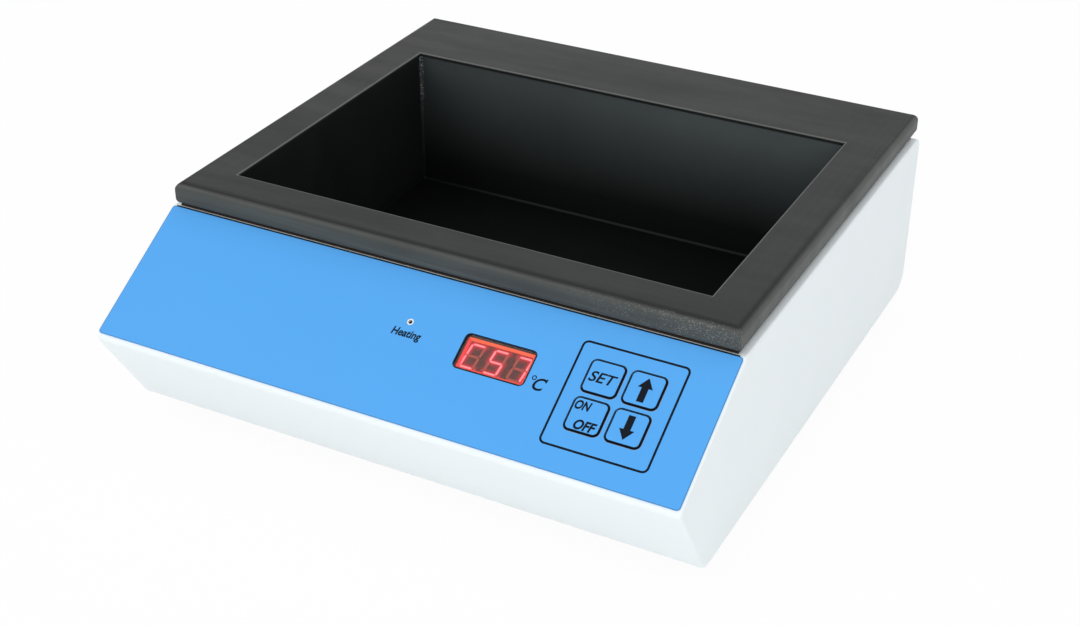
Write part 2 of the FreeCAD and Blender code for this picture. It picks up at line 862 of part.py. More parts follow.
def make_heat_sink():
    """Finned extrusion standing on the board, fins towards the front."""
    low, left, back = power_face, sink_x - sink_width / 2, power_back - sink_from_edge - triac_depth
    sink = box(left, left + sink_width, back - sink_base, back, low, low + sink_height)
    step = (sink_width - sink_fin) / (sink_fins - 1)
    fins = [box(left + step * i, left + step * i + sink_fin, back - sink_depth, back - sink_base,
                low, low + sink_height) for i in range(sink_fins)]
    return sink.multiFuse(fins).removeSplitter()


def make_triac():
    """Flat-backed power switch on the heat sink's plain face."""
    x, back = sink_x, power_back - sink_from_edge - triac_depth
    low, half = power_face + triac_lift, tab_plate_width / 2
    tab = box(x - half, x + half, back, back + tab_plate_sheet, low, low + tab_plate_height)
    tab = tab.cut(peg_along_y(x, back - 1, low + (tab_plate_height + triac_height) / 2, screw_radius, 4))
    body = box(x - half, x + half, back + tab_plate_sheet, back + triac_depth, low, low + triac_height)
    middle, leg = back + triac_depth / 2, triac_leg / 2
    legs = [box(x + p - leg, x + p + leg, middle - leg, middle + leg, power_face, low)
            for p in (-triac_leg_pitch, 0, triac_leg_pitch)]
    return tab.multiFuse([body] + legs).removeSplitter()


def make_terminal_block():
    """Screw terminals: a sloped-shouldered block with a screw well and a wire entry for each pole."""
    low, high, half = power_face, power_face + terminal_height, entry_size / 2
    front, back = power_middle - terminal_depth / 2, power_middle + terminal_depth / 2
    block = box(terminal_left, terminal_right, front, back, low, high)
    long_edges = [e for e in edges_at(block, high) if e.BoundBox.XLength > 1]
    block = block.makeChamfer(terminal_slope, long_edges)
    cuts = []
    for x in pole_places():
        cuts.append(peg(x, power_middle, high - entry_size, half, entry_size + 1))
        cuts.append(box(x - half, x + half, back - entry_depth, back + 1,
                        low + entry_lift, low + entry_lift + entry_size))
    return block.cut(Part.makeCompound(cuts))


def pole_places():
    return [terminal_left + pole_pitch * (i + 0.5) for i in range(pole_count)]


def make_filter_capacitor():
    return peg(capacitor_x, power_middle, power_face, capacitor_radius, capacitor_height,
               round_sides)


# Heater pack

def heater_sheet_at(grow, low, high):
    side = inner_side - heater_border_x + grow
    return box(-side, side, inner_front + heater_border_y - grow, inner_back - heater_border_y + grow,
               low, high)


def insulation_low():
    return basin_under - heater_sheet - insulation_height


def clamp_stud_places():
    reach = clamp_overlap / 2
    side = inner_side - heater_border_x + reach
    front, back = inner_front + heater_border_y - reach, inner_back - heater_border_y + reach
    return [(x, y) for x in (-side, 0, side) for y in (front, back)]


def make_heater_mat():
    return heater_sheet_at(0, basin_under - heater_sheet, basin_under)


def make_insulation():
    return heater_sheet_at(0, insulation_low(), basin_under - heater_sheet)


def make_clamp_plate():
    plate = heater_sheet_at(clamp_overlap, insulation_low() - clamp_sheet, insulation_low())
    holes = [peg(x, y, insulation_low() - clamp_sheet - 1, clamp_stud_radius + free_gap, clamp_sheet + 2)
             for x, y in clamp_stud_places()]
    return plate.cut(Part.makeCompound(holes))


def make_clamp_studs():
    low = insulation_low() - clamp_sheet - nut_height - 1
    return [peg(x, y, low, clamp_stud_radius, basin_under - low) for x, y in clamp_stud_places()]


def make_clamp_nuts():
    low = insulation_low() - clamp_sheet - nut_height
    return [hex_nut(x, y, low, clamp_stud_radius + tight_gap) for x, y in clamp_stud_places()]


def make_thermostat():
    """Disc cut-out clipped to the basin's back wall, with two blades for its wires."""
    wall, z = inner_back + basin_sheet, basin_floor + thermostat_lift
    disc = peg_along_y(0, wall, z, thermostat_radius, thermostat_height)
    neck_end = wall + thermostat_height + thermostat_neck
    neck = peg_along_y(0, wall + thermostat_height, z, thermostat_radius * 0.8, thermostat_neck)
    blades = [box(x - blade_width / 2, x + blade_width / 2, neck_end - blade_sheet, neck_end,
                  z, z + blade_length) for x in (-blade_width * 0.7, blade_width * 0.7)]
    return disc.multiFuse([neck] + blades).removeSplitter()


def make_sensor():
    """Round probe lying along the basin's back wall."""
    wall = inner_back + basin_sheet
    probe = Part.Face(polygon(0, 0, 0, sensor_radius, round_sides)).extrude(vec(0, 0, sensor_length))
    probe.rotate(vec(0, 0, 0), vec(0, 1, 0), 90)
    probe.translate(vec(sensor_x, wall + sensor_radius, basin_floor + sensor_lift))
    return probe


def make_sensor_clip():
    """Strap bent over the probe, with two feet on the basin's wall."""
    wall, z = inner_back + basin_sheet, basin_floor + sensor_lift
    left = sensor_x + (sensor_length - clip_width) / 2
    right, reach = left + clip_width, sensor_radius + tight_gap
    strap = box(left, right, wall, wall + 2 * sensor_radius + tight_gap + clip_sheet,
                z - reach - clip_sheet, z + reach + clip_sheet)
    feet = box(left, right, wall, wall + clip_sheet, z - reach - clip_foot, z + reach + clip_foot)
    hollow = box(left - 1, right + 1, wall - 1, wall + 2 * sensor_radius + tight_gap, z - reach, z + reach)
    return strap.fuse(feet).cut(hollow).removeSplitter()


# Mains inlet

def inlet_screw_x():
    return [inlet_x - inlet_hole_pitch / 2, inlet_x + inlet_hole_pitch / 2]


def inlet_body_block(grow):
    half = inlet_body_width / 2 + grow
    reach = inlet_body_height / 2 + grow
    return box(inlet_x - half, inlet_x + half, inlet_end, back_y + grow, inlet_z - reach, inlet_z + reach)


def socket_middle():
    return inlet_z + socket_rise


def drawer_middle():
    return inlet_z - drawer_drop


def socket_form():
    """The plug's way in: a rectangle with its two lower corners cut off."""
    half, low, high = socket_width / 2, -socket_height / 2, socket_height / 2
    cut = socket_chamfer
    points = [(-half, high), (-half, low + cut), (-half + cut, low), (half - cut, low),
              (half, low + cut), (half, high), (-half, high)]
    wire = Part.makePolygon([vec(inlet_x + x, inlet_face + 1, socket_middle() + z) for x, z in points])
    return Part.Face(wire).extrude(vec(0, -socket_depth - 1, 0))


def drawer_box(grow, front, back, height):
    half, reach = drawer_width / 2 + grow, height / 2 + grow
    return box(inlet_x - half, inlet_x + half, back, front, drawer_middle() - reach,
               drawer_middle() + reach)


def pin_places():
    """x and z of the pins' middles, and how far each stands forward of the others."""
    low = socket_middle() - pin_row_gap / 2
    high = socket_middle() + pin_row_gap / 2
    return [(inlet_x - pin_pitch / 2, low, 0), (inlet_x + pin_pitch / 2, low, 0), (inlet_x, high, earth_pin_ahead)]


def make_inlet_body():
    """Moulded inlet: flanged plate, socket with cut corners, slot for the fuse drawer."""
    half, reach = inlet_width / 2, inlet_height / 2
    corners = [vec(inlet_x + x, back_y, inlet_z + z)
               for x, z in ((-half, -reach), (half, -reach), (half, reach), (-half, reach))]
    plate = Part.Face(rounded_loop(corners, [inlet_corner_radius] * 4)).extrude(vec(0, inlet_plate, 0))
    body = plate.fuse(inlet_body_block(0)).removeSplitter()
    cuts = [socket_form()]
    cuts.append(drawer_box(drawer_gap, inlet_face + 1, inlet_face - drawer_depth - 1, drawer_height))
    cuts += [box(x - pin_width / 2, x + pin_width / 2, inlet_end - 1, inlet_face,
                 z - pin_height / 2, z + pin_height / 2) for x, z, ahead in pin_places()]
    for x in inlet_screw_x():
        cuts.append(peg_along_y(x, back_y - 1, inlet_z, screw_radius + free_gap, inlet_plate + 2))
        profile = [(0, -screw_head_height), (screw_radius + free_gap, -screw_head_height),
                   (screw_head_radius + free_gap, 0), (0, 0)]
        cuts.append(turned_to_back(x, turned(0, 0, 0, profile, small_sides)))
    return body.cut(Part.makeCompound(cuts))


def turned_to_back(x, shape):
    """Lay an upright piece along Y, its top at the inlet's face, on the screw line at x."""
    shape.rotate(vec(0, 0, 0), vec(1, 0, 0), -90)
    shape.translate(vec(x, inlet_face, inlet_z))
    return shape


def make_inlet_pins():
    """Pins with their push-on tabs behind the body."""
    pins = []
    for x, z, ahead in pin_places():
        tip = inlet_face - pin_set_in + ahead
        blade = box(x - pin_width / 2, x + pin_width / 2, inlet_end, tip,
                    z - pin_height / 2, z + pin_height / 2)
        tab = box(x - blade_sheet / 2, x + blade_sheet / 2, inlet_end - tab_length, inlet_end,
                  z - blade_width / 2, z + blade_width / 2)
        pins.append(blade.fuse(tab).removeSplitter())
    return pins


def make_fuse_drawer():
    """Open-topped tray with two cradles, and a lip to pull it by."""
    tray = drawer_box(0, inlet_face, inlet_face - drawer_depth, drawer_height)
    half, reach = drawer_lip_width / 2, drawer_lip_height / 2
    lip = box(inlet_x - half, inlet_x + half, inlet_face + drawer_gap, rear_y,
              drawer_middle() - reach, drawer_middle() + reach)
    neck = drawer_box(-drawer_gap, rear_y - drawer_lip, inlet_face - 1, drawer_height)
    notch = box(inlet_x - drawer_notch_width / 2, inlet_x + drawer_notch_width / 2,
                rear_y - drawer_notch_depth, rear_y + 1,
                drawer_middle() - reach - 1, drawer_middle() - reach + drawer_notch_height)
    cradles = []
    for y in fuse_rows():
        cradles.append(box(inlet_x - fuse_length / 2 - fuse_gap, inlet_x + fuse_length / 2 + fuse_gap,
                           y - fuse_radius - fuse_gap, y + fuse_radius + fuse_gap,
                           fuse_middle() - fuse_radius - fuse_gap, drawer_middle() + drawer_height))
    return tray.fuse(neck).fuse(lip).cut(notch).cut(Part.makeCompound(cradles)).removeSplitter()


def fuse_rows():
    first = inlet_face - drawer_face - fuse_radius
    return [first, first - 2 * fuse_radius - fuse_row_gap]


def fuse_middle():
    return drawer_middle() - drawer_height / 2 + drawer_wall + fuse_gap + fuse_radius


def make_fuses():
    fuses = []
    for y in fuse_rows():
        fuse = peg(0, 0, 0, fuse_radius, fuse_length, round_sides)
        fuse.rotate(vec(0, 0, 0), vec(0, 1, 0), 90)
        fuse.translate(vec(inlet_x - fuse_length / 2, y, fuse_middle()))
        fuses.append(fuse)
    return fuses


def make_inlet_screws():
    """Countersunk screws, flush with the inlet's face."""
    profile = [(0, -inlet_screw_length), (screw_radius, -inlet_screw_length),
               (screw_radius, -screw_head_height), (screw_head_radius, 0), (0, 0)]
    return [turned_to_back(x, turned(0, 0, 0, profile, small_sides)) for x in inlet_screw_x()]


def make_inlet_nuts():
    nuts = []
    for x in inlet_screw_x():
        nut = hex_nut(0, 0, 0, screw_radius + tight_gap)
        nut.rotate(vec(0, 0, 0), vec(1, 0, 0), -90)
        nut.translate(vec(x, back_y - housing_sheet - nut_height, inlet_z))
        nuts.append(nut)
    return nuts


# Protective earth and wiring

def make_earth_stud():
    """Stud in the base plate with two nuts."""
    stud = peg(earth_x, earth_y, foot_height, rim_stud_radius, earth_stud_length)
    nuts = [hex_nut(earth_x, earth_y, z, rim_stud_radius)
            for z in (housing_low, housing_low + nut_height + earth_nut_gap)]
    return stud.multiFuse(nuts)


def make_mains_lead():
    """Sheathed lead from the inlet's tabs, round the basin's right side, to the terminal block."""
    start_y = inlet_end - tab_length
    down_y = start_y - lead_drop
    side_x = housing_width / 2 - lead_side_gap
    front_y = inner_front - basin_sheet - lead_front_gap
    low = power_face + entry_lift + entry_size / 2
    high = socket_middle() - pin_row_gap / 2
    x, last = inlet_x - pin_pitch / 2, pole_places()[-1]
    end_y = power_middle + terminal_depth / 2 + tight_gap
    route = [vec(x, start_y, high), vec(x, down_y, high), vec(x, down_y, low), vec(side_x, down_y, low),
             vec(side_x, front_y, low), vec(last, front_y, low), vec(last, end_y, low)]
    return tube_along(route, min(lead_bend, 0.9 * abs(front_y - end_y)), round_outline(route[0], lead_radius))


def make_ribbon_cable():
    """Flat cable from the control board's rear to the power board, with its two sockets."""
    half, thick = ribbon_width / 2, ribbon_socket_depth / 2
    x = ribbon_left + half
    lower_y = power_front + ribbon_from_edge
    upper = on_panel(box(x - half, x + half, ribbon_s - thick, ribbon_s + thick,
                         board_rear - ribbon_socket_height, board_rear))
    lower = box(x - half, x + half, lower_y - thick, lower_y + thick, power_face,
                power_face + ribbon_socket_height)
    start = panel_point(x, ribbon_s, board_rear - ribbon_socket_height)
    turn = panel_point(x, ribbon_s, board_rear - ribbon_socket_height - 2 * ribbon_bend)
    route = [start, turn, vec(x, lower_y, power_face + ribbon_rise),
             vec(x, lower_y, power_face + ribbon_socket_height)]
    ahead = (turn - start).normalize()
    side = vec(half, 0, 0)
    out = ahead.cross(vec(1, 0, 0)) * (ribbon_sheet / 2)
    outline = [start + side + out, start + side - out, start - side - out, start - side + out]
    return tube_along(route, ribbon_bend, outline).multiFuse([upper, lower])


def make_heater_wires():
    """Two wires from the heater mat's front edge down to the terminal block."""
    wires = []
    start_y = inner_front + heater_border_y
    high = basin_under - heater_sheet / 2 - wire_radius / 2
    low = power_face + entry_lift + entry_size / 2
    end_y = power_middle + terminal_depth / 2 - entry_depth + tight_gap
    for x in pole_places()[:2]:
        route = [vec(x, start_y, high), vec(x, start_y - wire_bend, high),
                 vec(x, power_back + wire_bend, low), vec(x, end_y, low)]
        wires.append(tube_along(route, wire_bend, round_outline(route[0], wire_radius)))
    return wires


PIECES = {
    "housing": make_housing, "base_plate": make_base_plate,
    "foot_screws": make_foot_screws, "foot_nuts": make_foot_nuts, "base_screws": make_base_screws,
    "top_rim": make_top_rim, "basin": make_basin, "rim_gasket": make_gasket,
    "rim_studs": make_rim_studs, "rim_nuts": make_rim_nuts,
    "panel_overlay": make_overlay, "display_window": make_window, "display_module": make_display,
    "heating_lamp": make_lamp, "lamp_spacer": make_lamp_spacer, "tact_switches": make_tact_switches,
    "control_board": make_control_board, "board_pillars": make_pillars, "board_screws": make_board_screws,
    "control_chip": make_control_chip, "buzzer": make_buzzer,
    "power_board": make_power_board, "power_board_spacers": make_spacers,
    "transformer_core": make_core, "transformer_winding": make_winding,
    "heat_sink": make_heat_sink, "triac": make_triac, "terminal_block": make_terminal_block,
    "filter_capacitor": make_filter_capacitor,
    "heater_mat": make_heater_mat, "heater_insulation": make_insulation,
    "heater_clamp_plate": make_clamp_plate, "clamp_studs": make_clamp_studs,
    "clamp_nuts": make_clamp_nuts, "cutout_thermostat": make_thermostat,
    "temperature_sensor": make_sensor, "sensor_clip": make_sensor_clip,
    "inlet_body": make_inlet_body, "inlet_pins": make_inlet_pins, "fuse_drawer": make_fuse_drawer,
    "fuses": make_fuses, "inlet_screws": make_inlet_screws, "inlet_nuts": make_inlet_nuts,
    "earth_stud": make_earth_stud, "mains_lead": make_mains_lead, "heater_wires": make_heater_wires,
    "ribbon_cable": make_ribbon_cable,
}


def save(name, made, shift):
    """Write one node: a solid, or a group of separate solids."""
    shape = Part.makeCompound(made) if isinstance(made, list) else made
    shape = shape.copy()
    shape.translate(vec(0, shift, 0))
    if len(shape.Solids) == 1:
        shape = shape.Solids[0]
    shape.exportStep(os.path.join("parts", name + ".step"))
    print(name, len(shape.Solids), "solids", round(shape.Volume, 1), "mm3", "valid", shape.isValid())


def main():
    os.makedirs("parts", exist_ok=True)
    form = housing_form(0)
    shift = -(form.BoundBox.YMin + rear_y) / 2
    print("moved along y by", round(shift, 4))
    for name, make in PIECES.items():
        save(name, make(), shift)
    for name, (x, y) in foot_places().items():
        save("foot_" + name, make_foot(x, y), shift)
    for name, place in key_centres().items():
        save(name + "_key", make_key(place), shift)
        save(name + "_plunger", make_plunger(place), shift)


main()
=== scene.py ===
"""The looks of a bench-top laboratory water bath, dressed on its packed construction.

Lengths are in metres. The panel's own coordinates are x to the right from the middle of the bath,
s up the slope from the nose of the housing, and h out from the painted sheet.
"""

import json
import math

import bmesh
import bpy
from mathutils import Matrix, Vector


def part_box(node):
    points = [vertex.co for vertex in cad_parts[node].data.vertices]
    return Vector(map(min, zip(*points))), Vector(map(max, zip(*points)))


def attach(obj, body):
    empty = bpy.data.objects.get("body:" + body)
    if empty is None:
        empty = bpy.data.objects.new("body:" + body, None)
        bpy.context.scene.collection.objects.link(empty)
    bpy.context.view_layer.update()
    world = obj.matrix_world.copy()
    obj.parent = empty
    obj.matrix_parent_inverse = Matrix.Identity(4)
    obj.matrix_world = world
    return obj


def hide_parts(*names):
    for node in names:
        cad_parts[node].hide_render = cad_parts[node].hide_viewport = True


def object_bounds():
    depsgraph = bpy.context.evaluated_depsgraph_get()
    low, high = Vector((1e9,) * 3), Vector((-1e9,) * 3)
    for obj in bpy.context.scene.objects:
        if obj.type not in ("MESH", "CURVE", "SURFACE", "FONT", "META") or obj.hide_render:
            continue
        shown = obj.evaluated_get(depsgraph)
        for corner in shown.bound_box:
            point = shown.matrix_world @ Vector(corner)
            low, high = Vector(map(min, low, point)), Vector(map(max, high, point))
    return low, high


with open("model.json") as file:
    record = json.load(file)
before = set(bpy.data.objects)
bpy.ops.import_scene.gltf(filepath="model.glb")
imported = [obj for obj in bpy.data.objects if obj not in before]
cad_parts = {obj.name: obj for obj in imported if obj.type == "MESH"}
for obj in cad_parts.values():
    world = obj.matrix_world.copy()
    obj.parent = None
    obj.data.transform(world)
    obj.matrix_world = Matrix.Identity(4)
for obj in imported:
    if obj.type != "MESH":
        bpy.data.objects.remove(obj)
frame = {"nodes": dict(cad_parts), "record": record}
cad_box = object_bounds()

bl_info = {
    "name": "Laboratory water bath",
    "version": (1, 0, 0),
    "blender": (4, 5, 0),
    "location": "View3D > Sidebar > Water Bath",
    "description": "Dresses the packed water bath: coatings, film panel, keys, display and fasteners",
    "category": "Object",
}

MM = 0.001
PRESS_AXIS = Vector(next(joint["axis"] for joint in frame["record"]["behaviour"]["joints"]
                         if joint["name"] == "set_press"))
KEY_NAMES = ("set", "up", "on_off", "down")
LIT_BARS = ("afed", "afgcd", "abc")
BASIN_FLANGE = 9.0 * MM
BASIN_SHEET = 1.2 * MM
SCREW_HEAD_HEIGHT = 1.8 * MM
SCREW_SHANK_RADIUS = 1.5 * MM


# Sizes and colours a user would change

def length(name, text, value):
    return bpy.props.FloatProperty(name=name, description=text, default=value * MM, unit="LENGTH",
                                   precision=5)


def colour(name, text, value):
    return bpy.props.FloatVectorProperty(name=name, description=text, default=value, size=3,
                                         subtype="COLOR", min=0.0, max=1.0)


class PanelSizes(bpy.types.PropertyGroup):
    """Sizes of what is printed and set on the panel."""

    film_low_gap: length("Film low gap", "From the nose of the housing to the film", 2.6)
    film_sheet: length("Film thickness", "Thickness of the printed film", 0.6)
    film_corner: length("Film corner", "Corner radius of the film", 2.0)
    # Painted shadow: the black strip over the film's top edge stands for the shade under the foam strip.
    film_shadow_reach: length("Film border", "How far the black border reaches past the film's top", 0.5)
    ink: length("Ink thickness", "Height of the print over the film", 0.03)
    edge_line: length("Edge line", "Width of the darker line at the film's edge", 0.35)
    frame_line: length("Frame line", "Width of the line round the keypad", 1.12)
    frame_corner: length("Frame corner", "Corner radius of the line round the keypad", 3.2)
    frame_border_x: length("Frame border across", "From the outer keys to the frame", 8.6)
    frame_border_top: length("Frame border above", "From the upper keys to the frame", 8.7)
    frame_border_low: length("Frame border below", "From the lower keys to the frame", 10.3)
    key_slot: length("Key slot", "Gap between a key pad and the film", 0.3)
    key_line: length("Key line", "Width of the line round each key, on the film", 0.40)
    key_shade: length("Key shade", "Width of the soft shade beside each key's line", 0.22)
    key_band: length("Key band", "Width of the printed edge on each key", 0.30)
    key_corner: length("Key corner", "Corner radius of a key pad", 2.7)
    key_edge: length("Key edge", "Radius of a key pad's upper edge", 0.20)
    key_crown: length("Key crown", "How far a key pad swells in its middle", 0.12)
    key_skirt: length("Key skirt", "How far a key pad reaches down into the film", 0.22)
    window_line: length("Window line", "Width of the line round the window, on the film", 0.38)
    window_lining: length("Window lining", "Width of the black lining inside the window", 0.08)
    window_corner: length("Window corner", "Corner radius of the window", 2.5)
    lamp_flange: length("Lamp flange", "How far the lamp's flange stands out from its body", 0.4)
    lamp_drop: length("Lamp drop", "How far the lamp's lens ends below its block", 0.5)
    lamp_dome: length("Lamp dome", "Height of the lamp's domed lens", 1.2)
    collar_wall: length("Collar wall", "Wall of the white collar round the lamp", 0.20)
    collar_brim: length("Collar brim", "How far the collar's brim stands out over the lamp", 0.24)
    collar_lip: length("Collar lip", "How far the collar's lip reaches over the lamp", 0.40)


class DisplaySizes(bpy.types.PropertyGroup):
    """Sizes of the three-digit display."""

    digit_height: length("Digit height", "From the middle of the top bar to that of the foot bar", 12.7)
    digit_width: length("Digit width", "Between the middles of a digit's uprights", 6.9)
    digit_pitch: length("Digit pitch", "From one digit to the next", 12.7)
    digit_shift: length("Digit shift", "How far the digits sit left of the block's middle", 0.5)
    bar_width: length("Bar width", "Width of a bar", 1.3)
    core_width: length("Core width", "Width of a lit bar's bright core", 0.80)
    bar_gap: length("Bar gap", "Gap between two bars' points", 0.2)
    bar_height: length("Bar height", "How far a bar stands over the display's face", 0.05)
    face_sheet: length("Face thickness", "Thickness of the display's face", 0.06)
    halo: length("Halo", "Reach of a lit bar's light on the face", 1.7)
    dot_radius: length("Dot radius", "Radius of a decimal point", 0.6)
    dot_gap: length("Dot gap", "From a digit's right upright to its decimal point", 0.9)
    face_border: length("Face border", "From the display block's edge to its face", 0.9)
    reflector: length("Reflector", "Thickness of the reflector's walls", 0.55)
    slant: bpy.props.FloatProperty(name="Slant", description="How far the digits lean",
                                   default=math.radians(7.5), subtype="ANGLE")


class BathColours(bpy.types.PropertyGroup):
    """Colours of the finishes."""

    paint: colour("Paint", "White powder coat of the housing", (0.86, 0.915, 0.93))
    coating: colour("Rim coating", "Black coating on the rim's deck", (0.0122, 0.0134, 0.0128))
    # Painted light: the rim's outer walls get a lighter tone than its deck, for the light they catch.
    skirt: colour("Rim skirt", "The same coating down the rim's outer walls", (0.064, 0.070, 0.065))
    # Painted shade: a darker band along the rim's upper bend.
    bend: colour("Rim bend", "The same coating on the rim's upper bend", (0.0085, 0.0090, 0.0090))
    basin: colour("Basin coating", "Black coating of the basin", (0.0085, 0.0095, 0.0090))
    # Painted sheen: a lighter tone high on the basin's back wall, stronger towards the right.
    sheen: colour("Basin sheen", "The same coating high on the basin's back wall", (0.080, 0.094, 0.095))
    film: colour("Film", "Blue of the printed film", (0.062, 0.350, 0.80))
    # Painted shade: a darker line along the film's edge.
    film_edge_shade: colour("Film edge", "Cut edge of the film", (0.03, 0.17, 0.42))
    shade: colour("Key shade", "Soft shade beside the keys", (0.20, 0.32, 0.52))
    ink: colour("Ink", "Black print", (0.004, 0.006, 0.012))
    lit: colour("Lit bar", "Light of a lit bar", (1.0, 0.05, 0.09))
    core: colour("Lit core", "Light of a lit bar's core", (1.0, 0.32, 0.38))
    # Painted light: the unlit bars, the halo and the display's face glow, though only the lit bars give
    # light.
    ghost: colour("Unlit bar", "Light that an unlit bar throws back", (0.34, 0.055, 0.032))
    halo: colour("Halo", "Light round the lit bars", (0.60, 0.002, 0.016))
    face: colour("Display face", "Light that the display's face throws back", (0.050, 0.006, 0.004))
    # Painted shade: the foam's tone is darkened for the shade it lies in under the rim.
    foam: colour("Foam", "Foam strip under the rim", (0.034, 0.021, 0.014))


# Places on the panel

def corners_of(points):
    """Lowest and highest corner of some points."""
    points = list(points)
    low = Vector([min(point[i] for point in points) for i in range(3)])
    high = Vector([max(point[i] for point in points) for i in range(3)])
    return low, high


def panel_place():
    """Matrix from the panel's own coordinates to the frame, from the film's box and the keys' axis."""
    sizes = bpy.context.scene.water_bath_panel
    out = -PRESS_AXIS.normalized()
    up = Vector((0, out.z, -out.y))
    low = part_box("panel_overlay")[0]
    nose = Vector((0, low.y - sizes.film_low_gap * up.y - sizes.film_sheet * out.y,
                   low.z - sizes.film_low_gap * up.z))
    place = Matrix((Vector((1, 0, 0)), up, out)).transposed().to_4x4()
    place.translation = nose
    return place


def panel_points(node):
    """Points of a CAD node in the panel's own coordinates."""
    inverse = panel_place().inverted()
    return [inverse @ vertex.co for vertex in frame["nodes"][node].data.vertices]


def panel_span(node):
    """Lowest and highest corner of a node in the panel's own coordinates."""
    return corners_of(panel_points(node))


def area_of(low, high, margin=0.0):
    """The spans in x and s between two corners, grown by a margin."""
    return (low.x - margin, high.x + margin), (low.y - margin, high.y + margin)


# Mesh helpers

def mesh_of(name, shape):
    """The mesh of a finished bmesh, which is freed."""
    mesh = bpy.data.meshes.new(name)
    shape.to_mesh(mesh)
    shape.free()
    return mesh


def join_in(target, part):
    """Add one bmesh to another and free it."""
    mesh = mesh_of("part", part)
    target.from_mesh(mesh)
    bpy.data.meshes.remove(mesh)


def added_object(name, data):
    """A new object in the scene."""
    made = bpy.data.objects.new(name, data)
    bpy.context.scene.collection.objects.link(made)
    return made


def final_mesh(piece):
    """A copy of an object's mesh as its modifiers or its text leave it."""
    bpy.context.view_layer.update()
    return bpy.data.meshes.new_from_object(piece.evaluated_get(bpy.context.evaluated_depsgraph_get()))


def thicken(shape, depth):
    """Turn flat faces into a closed slab that reaches up by depth."""
    raised = bmesh.ops.extrude_face_region(shape, geom=shape.faces[:], use_keep_orig=True)
    moved = [item for item in raised["geom"] if isinstance(item, bmesh.types.BMVert)]
    bmesh.ops.translate(shape, vec=(0, 0, depth), verts=moved)
    bmesh.ops.recalc_face_normals(shape, faces=shape.faces[:])


def flat_plate(area, height, corner):
    """A flat plate with round corners, facing out of the panel."""
    x_span, s_span = area
    shape = bmesh.new()
    verts = bmesh.ops.create_grid(shape, x_segments=1, y_segments=1, size=0.5)["verts"]
    bmesh.ops.scale(shape, vec=(x_span[1] - x_span[0], s_span[1] - s_span[0], 1), verts=verts)
    bmesh.ops.translate(shape, vec=(sum(x_span) / 2, sum(s_span) / 2, height), verts=verts)
    bmesh.ops.bevel(shape, geom=verts, offset=corner, offset_type="OFFSET", segments=8, profile=0.5,
                    affect="VERTICES", material=-1)
    return shape


def flat_disc(spot, radius, segments):
    """A flat round face at a spot."""
    shape = bmesh.new()
    bmesh.ops.create_circle(shape, cap_ends=True, segments=segments, radius=radius)
    bmesh.ops.translate(shape, vec=spot, verts=shape.verts[:])
    return shape


def slab(outline, height, depth):
    """A closed slab from a flat outline."""
    shape = bmesh.new()
    shape.faces.new([shape.verts.new((x, s, height)) for x, s in outline])
    thicken(shape, depth)
    return shape


def inset(shape, faces, width, depth=0.0):
    """Draw the edge of a region of faces inwards; gives the new faces round it."""
    return bmesh.ops.inset_region(shape, faces=faces, thickness=width, use_even_offset=True,
                                  use_boundary=True, depth=depth)["faces"]


def band(shape, width, depth):
    """Leave of flat faces only a closed line of print along their edge."""
    inner = shape.faces[:]
    inset(shape, inner, width)
    bmesh.ops.delete(shape, geom=inner, context="FACES_ONLY")
    thicken(shape, depth)
    return shape


def printed_ring(area, height, corner, width, depth):
    """A closed line of print, width wide, whose outer edge is the area's."""
    return band(flat_plate(area, height, corner), width, depth)


def tint(faces, index):
    """Give faces one of their piece's materials."""
    for face in faces:
        face.material_index = index


def turned(profile, steps):
    """A closed solid turned about Z from (radius, height) points, from axis to axis or in a ring."""
    shape = bmesh.new()
    verts = [shape.verts.new((radius, 0, height)) for radius, height in profile]
    edges = [shape.edges.new(pair) for pair in zip(verts, verts[1:])]
    bmesh.ops.spin(shape, geom=verts + edges, axis=(0, 0, 1), cent=(0, 0, 0), steps=steps,
                   angle=math.tau, use_merge=True)
    bmesh.ops.remove_doubles(shape, verts=shape.verts[:], dist=1e-7)
    bmesh.ops.recalc_face_normals(shape, faces=shape.faces[:])
    return shape


def cut_out(body, cutter):
    """The mesh of one bmesh with another cut out of it."""
    block, tool = (added_object("cut", mesh_of("cut", shape)) for shape in (body, cutter))
    cut = block.modifiers.new("Cut", "BOOLEAN")
    cut.operation = "DIFFERENCE"
    cut.solver = "EXACT"
    cut.use_self = True
    cut.object = tool
    made = final_mesh(block)
    for holder in (block, tool):
        bpy.data.objects.remove(holder)
    return made


def lettering(words, x_span, baseline, cap, lean, weight, depth):
    """Words as a bmesh, with capitals cap high from the baseline and as wide as the span."""
    font_capital, font_extrude = 0.729, 0.01
    letters = bpy.data.curves.new("lettering", "FONT")
    letters.body = words
    letters.shear = lean
    letters.offset = weight
    letters.extrude = font_extrude
    letters.resolution_u = 6
    holder = added_object("lettering", letters)
    mesh = final_mesh(holder)
    bpy.data.objects.remove(holder)
    bpy.data.curves.remove(letters)
    shape = bmesh.new()
    shape.from_mesh(mesh)
    bpy.data.meshes.remove(mesh)
    bmesh.ops.remove_doubles(shape, verts=shape.verts[:], dist=1e-5)
    low, high = corners_of(vert.co for vert in shape.verts)
    wide = (x_span[1] - x_span[0]) / (high.x - low.x)
    place = Matrix.Translation((x_span[0], baseline, depth / 2))
    place @= Matrix.Diagonal((wide, cap / font_capital, depth / (2 * font_extrude), 1))
    place @= Matrix.Translation((-low.x, 0, 0))
    bmesh.ops.transform(shape, matrix=place, verts=shape.verts[:])
    return shape


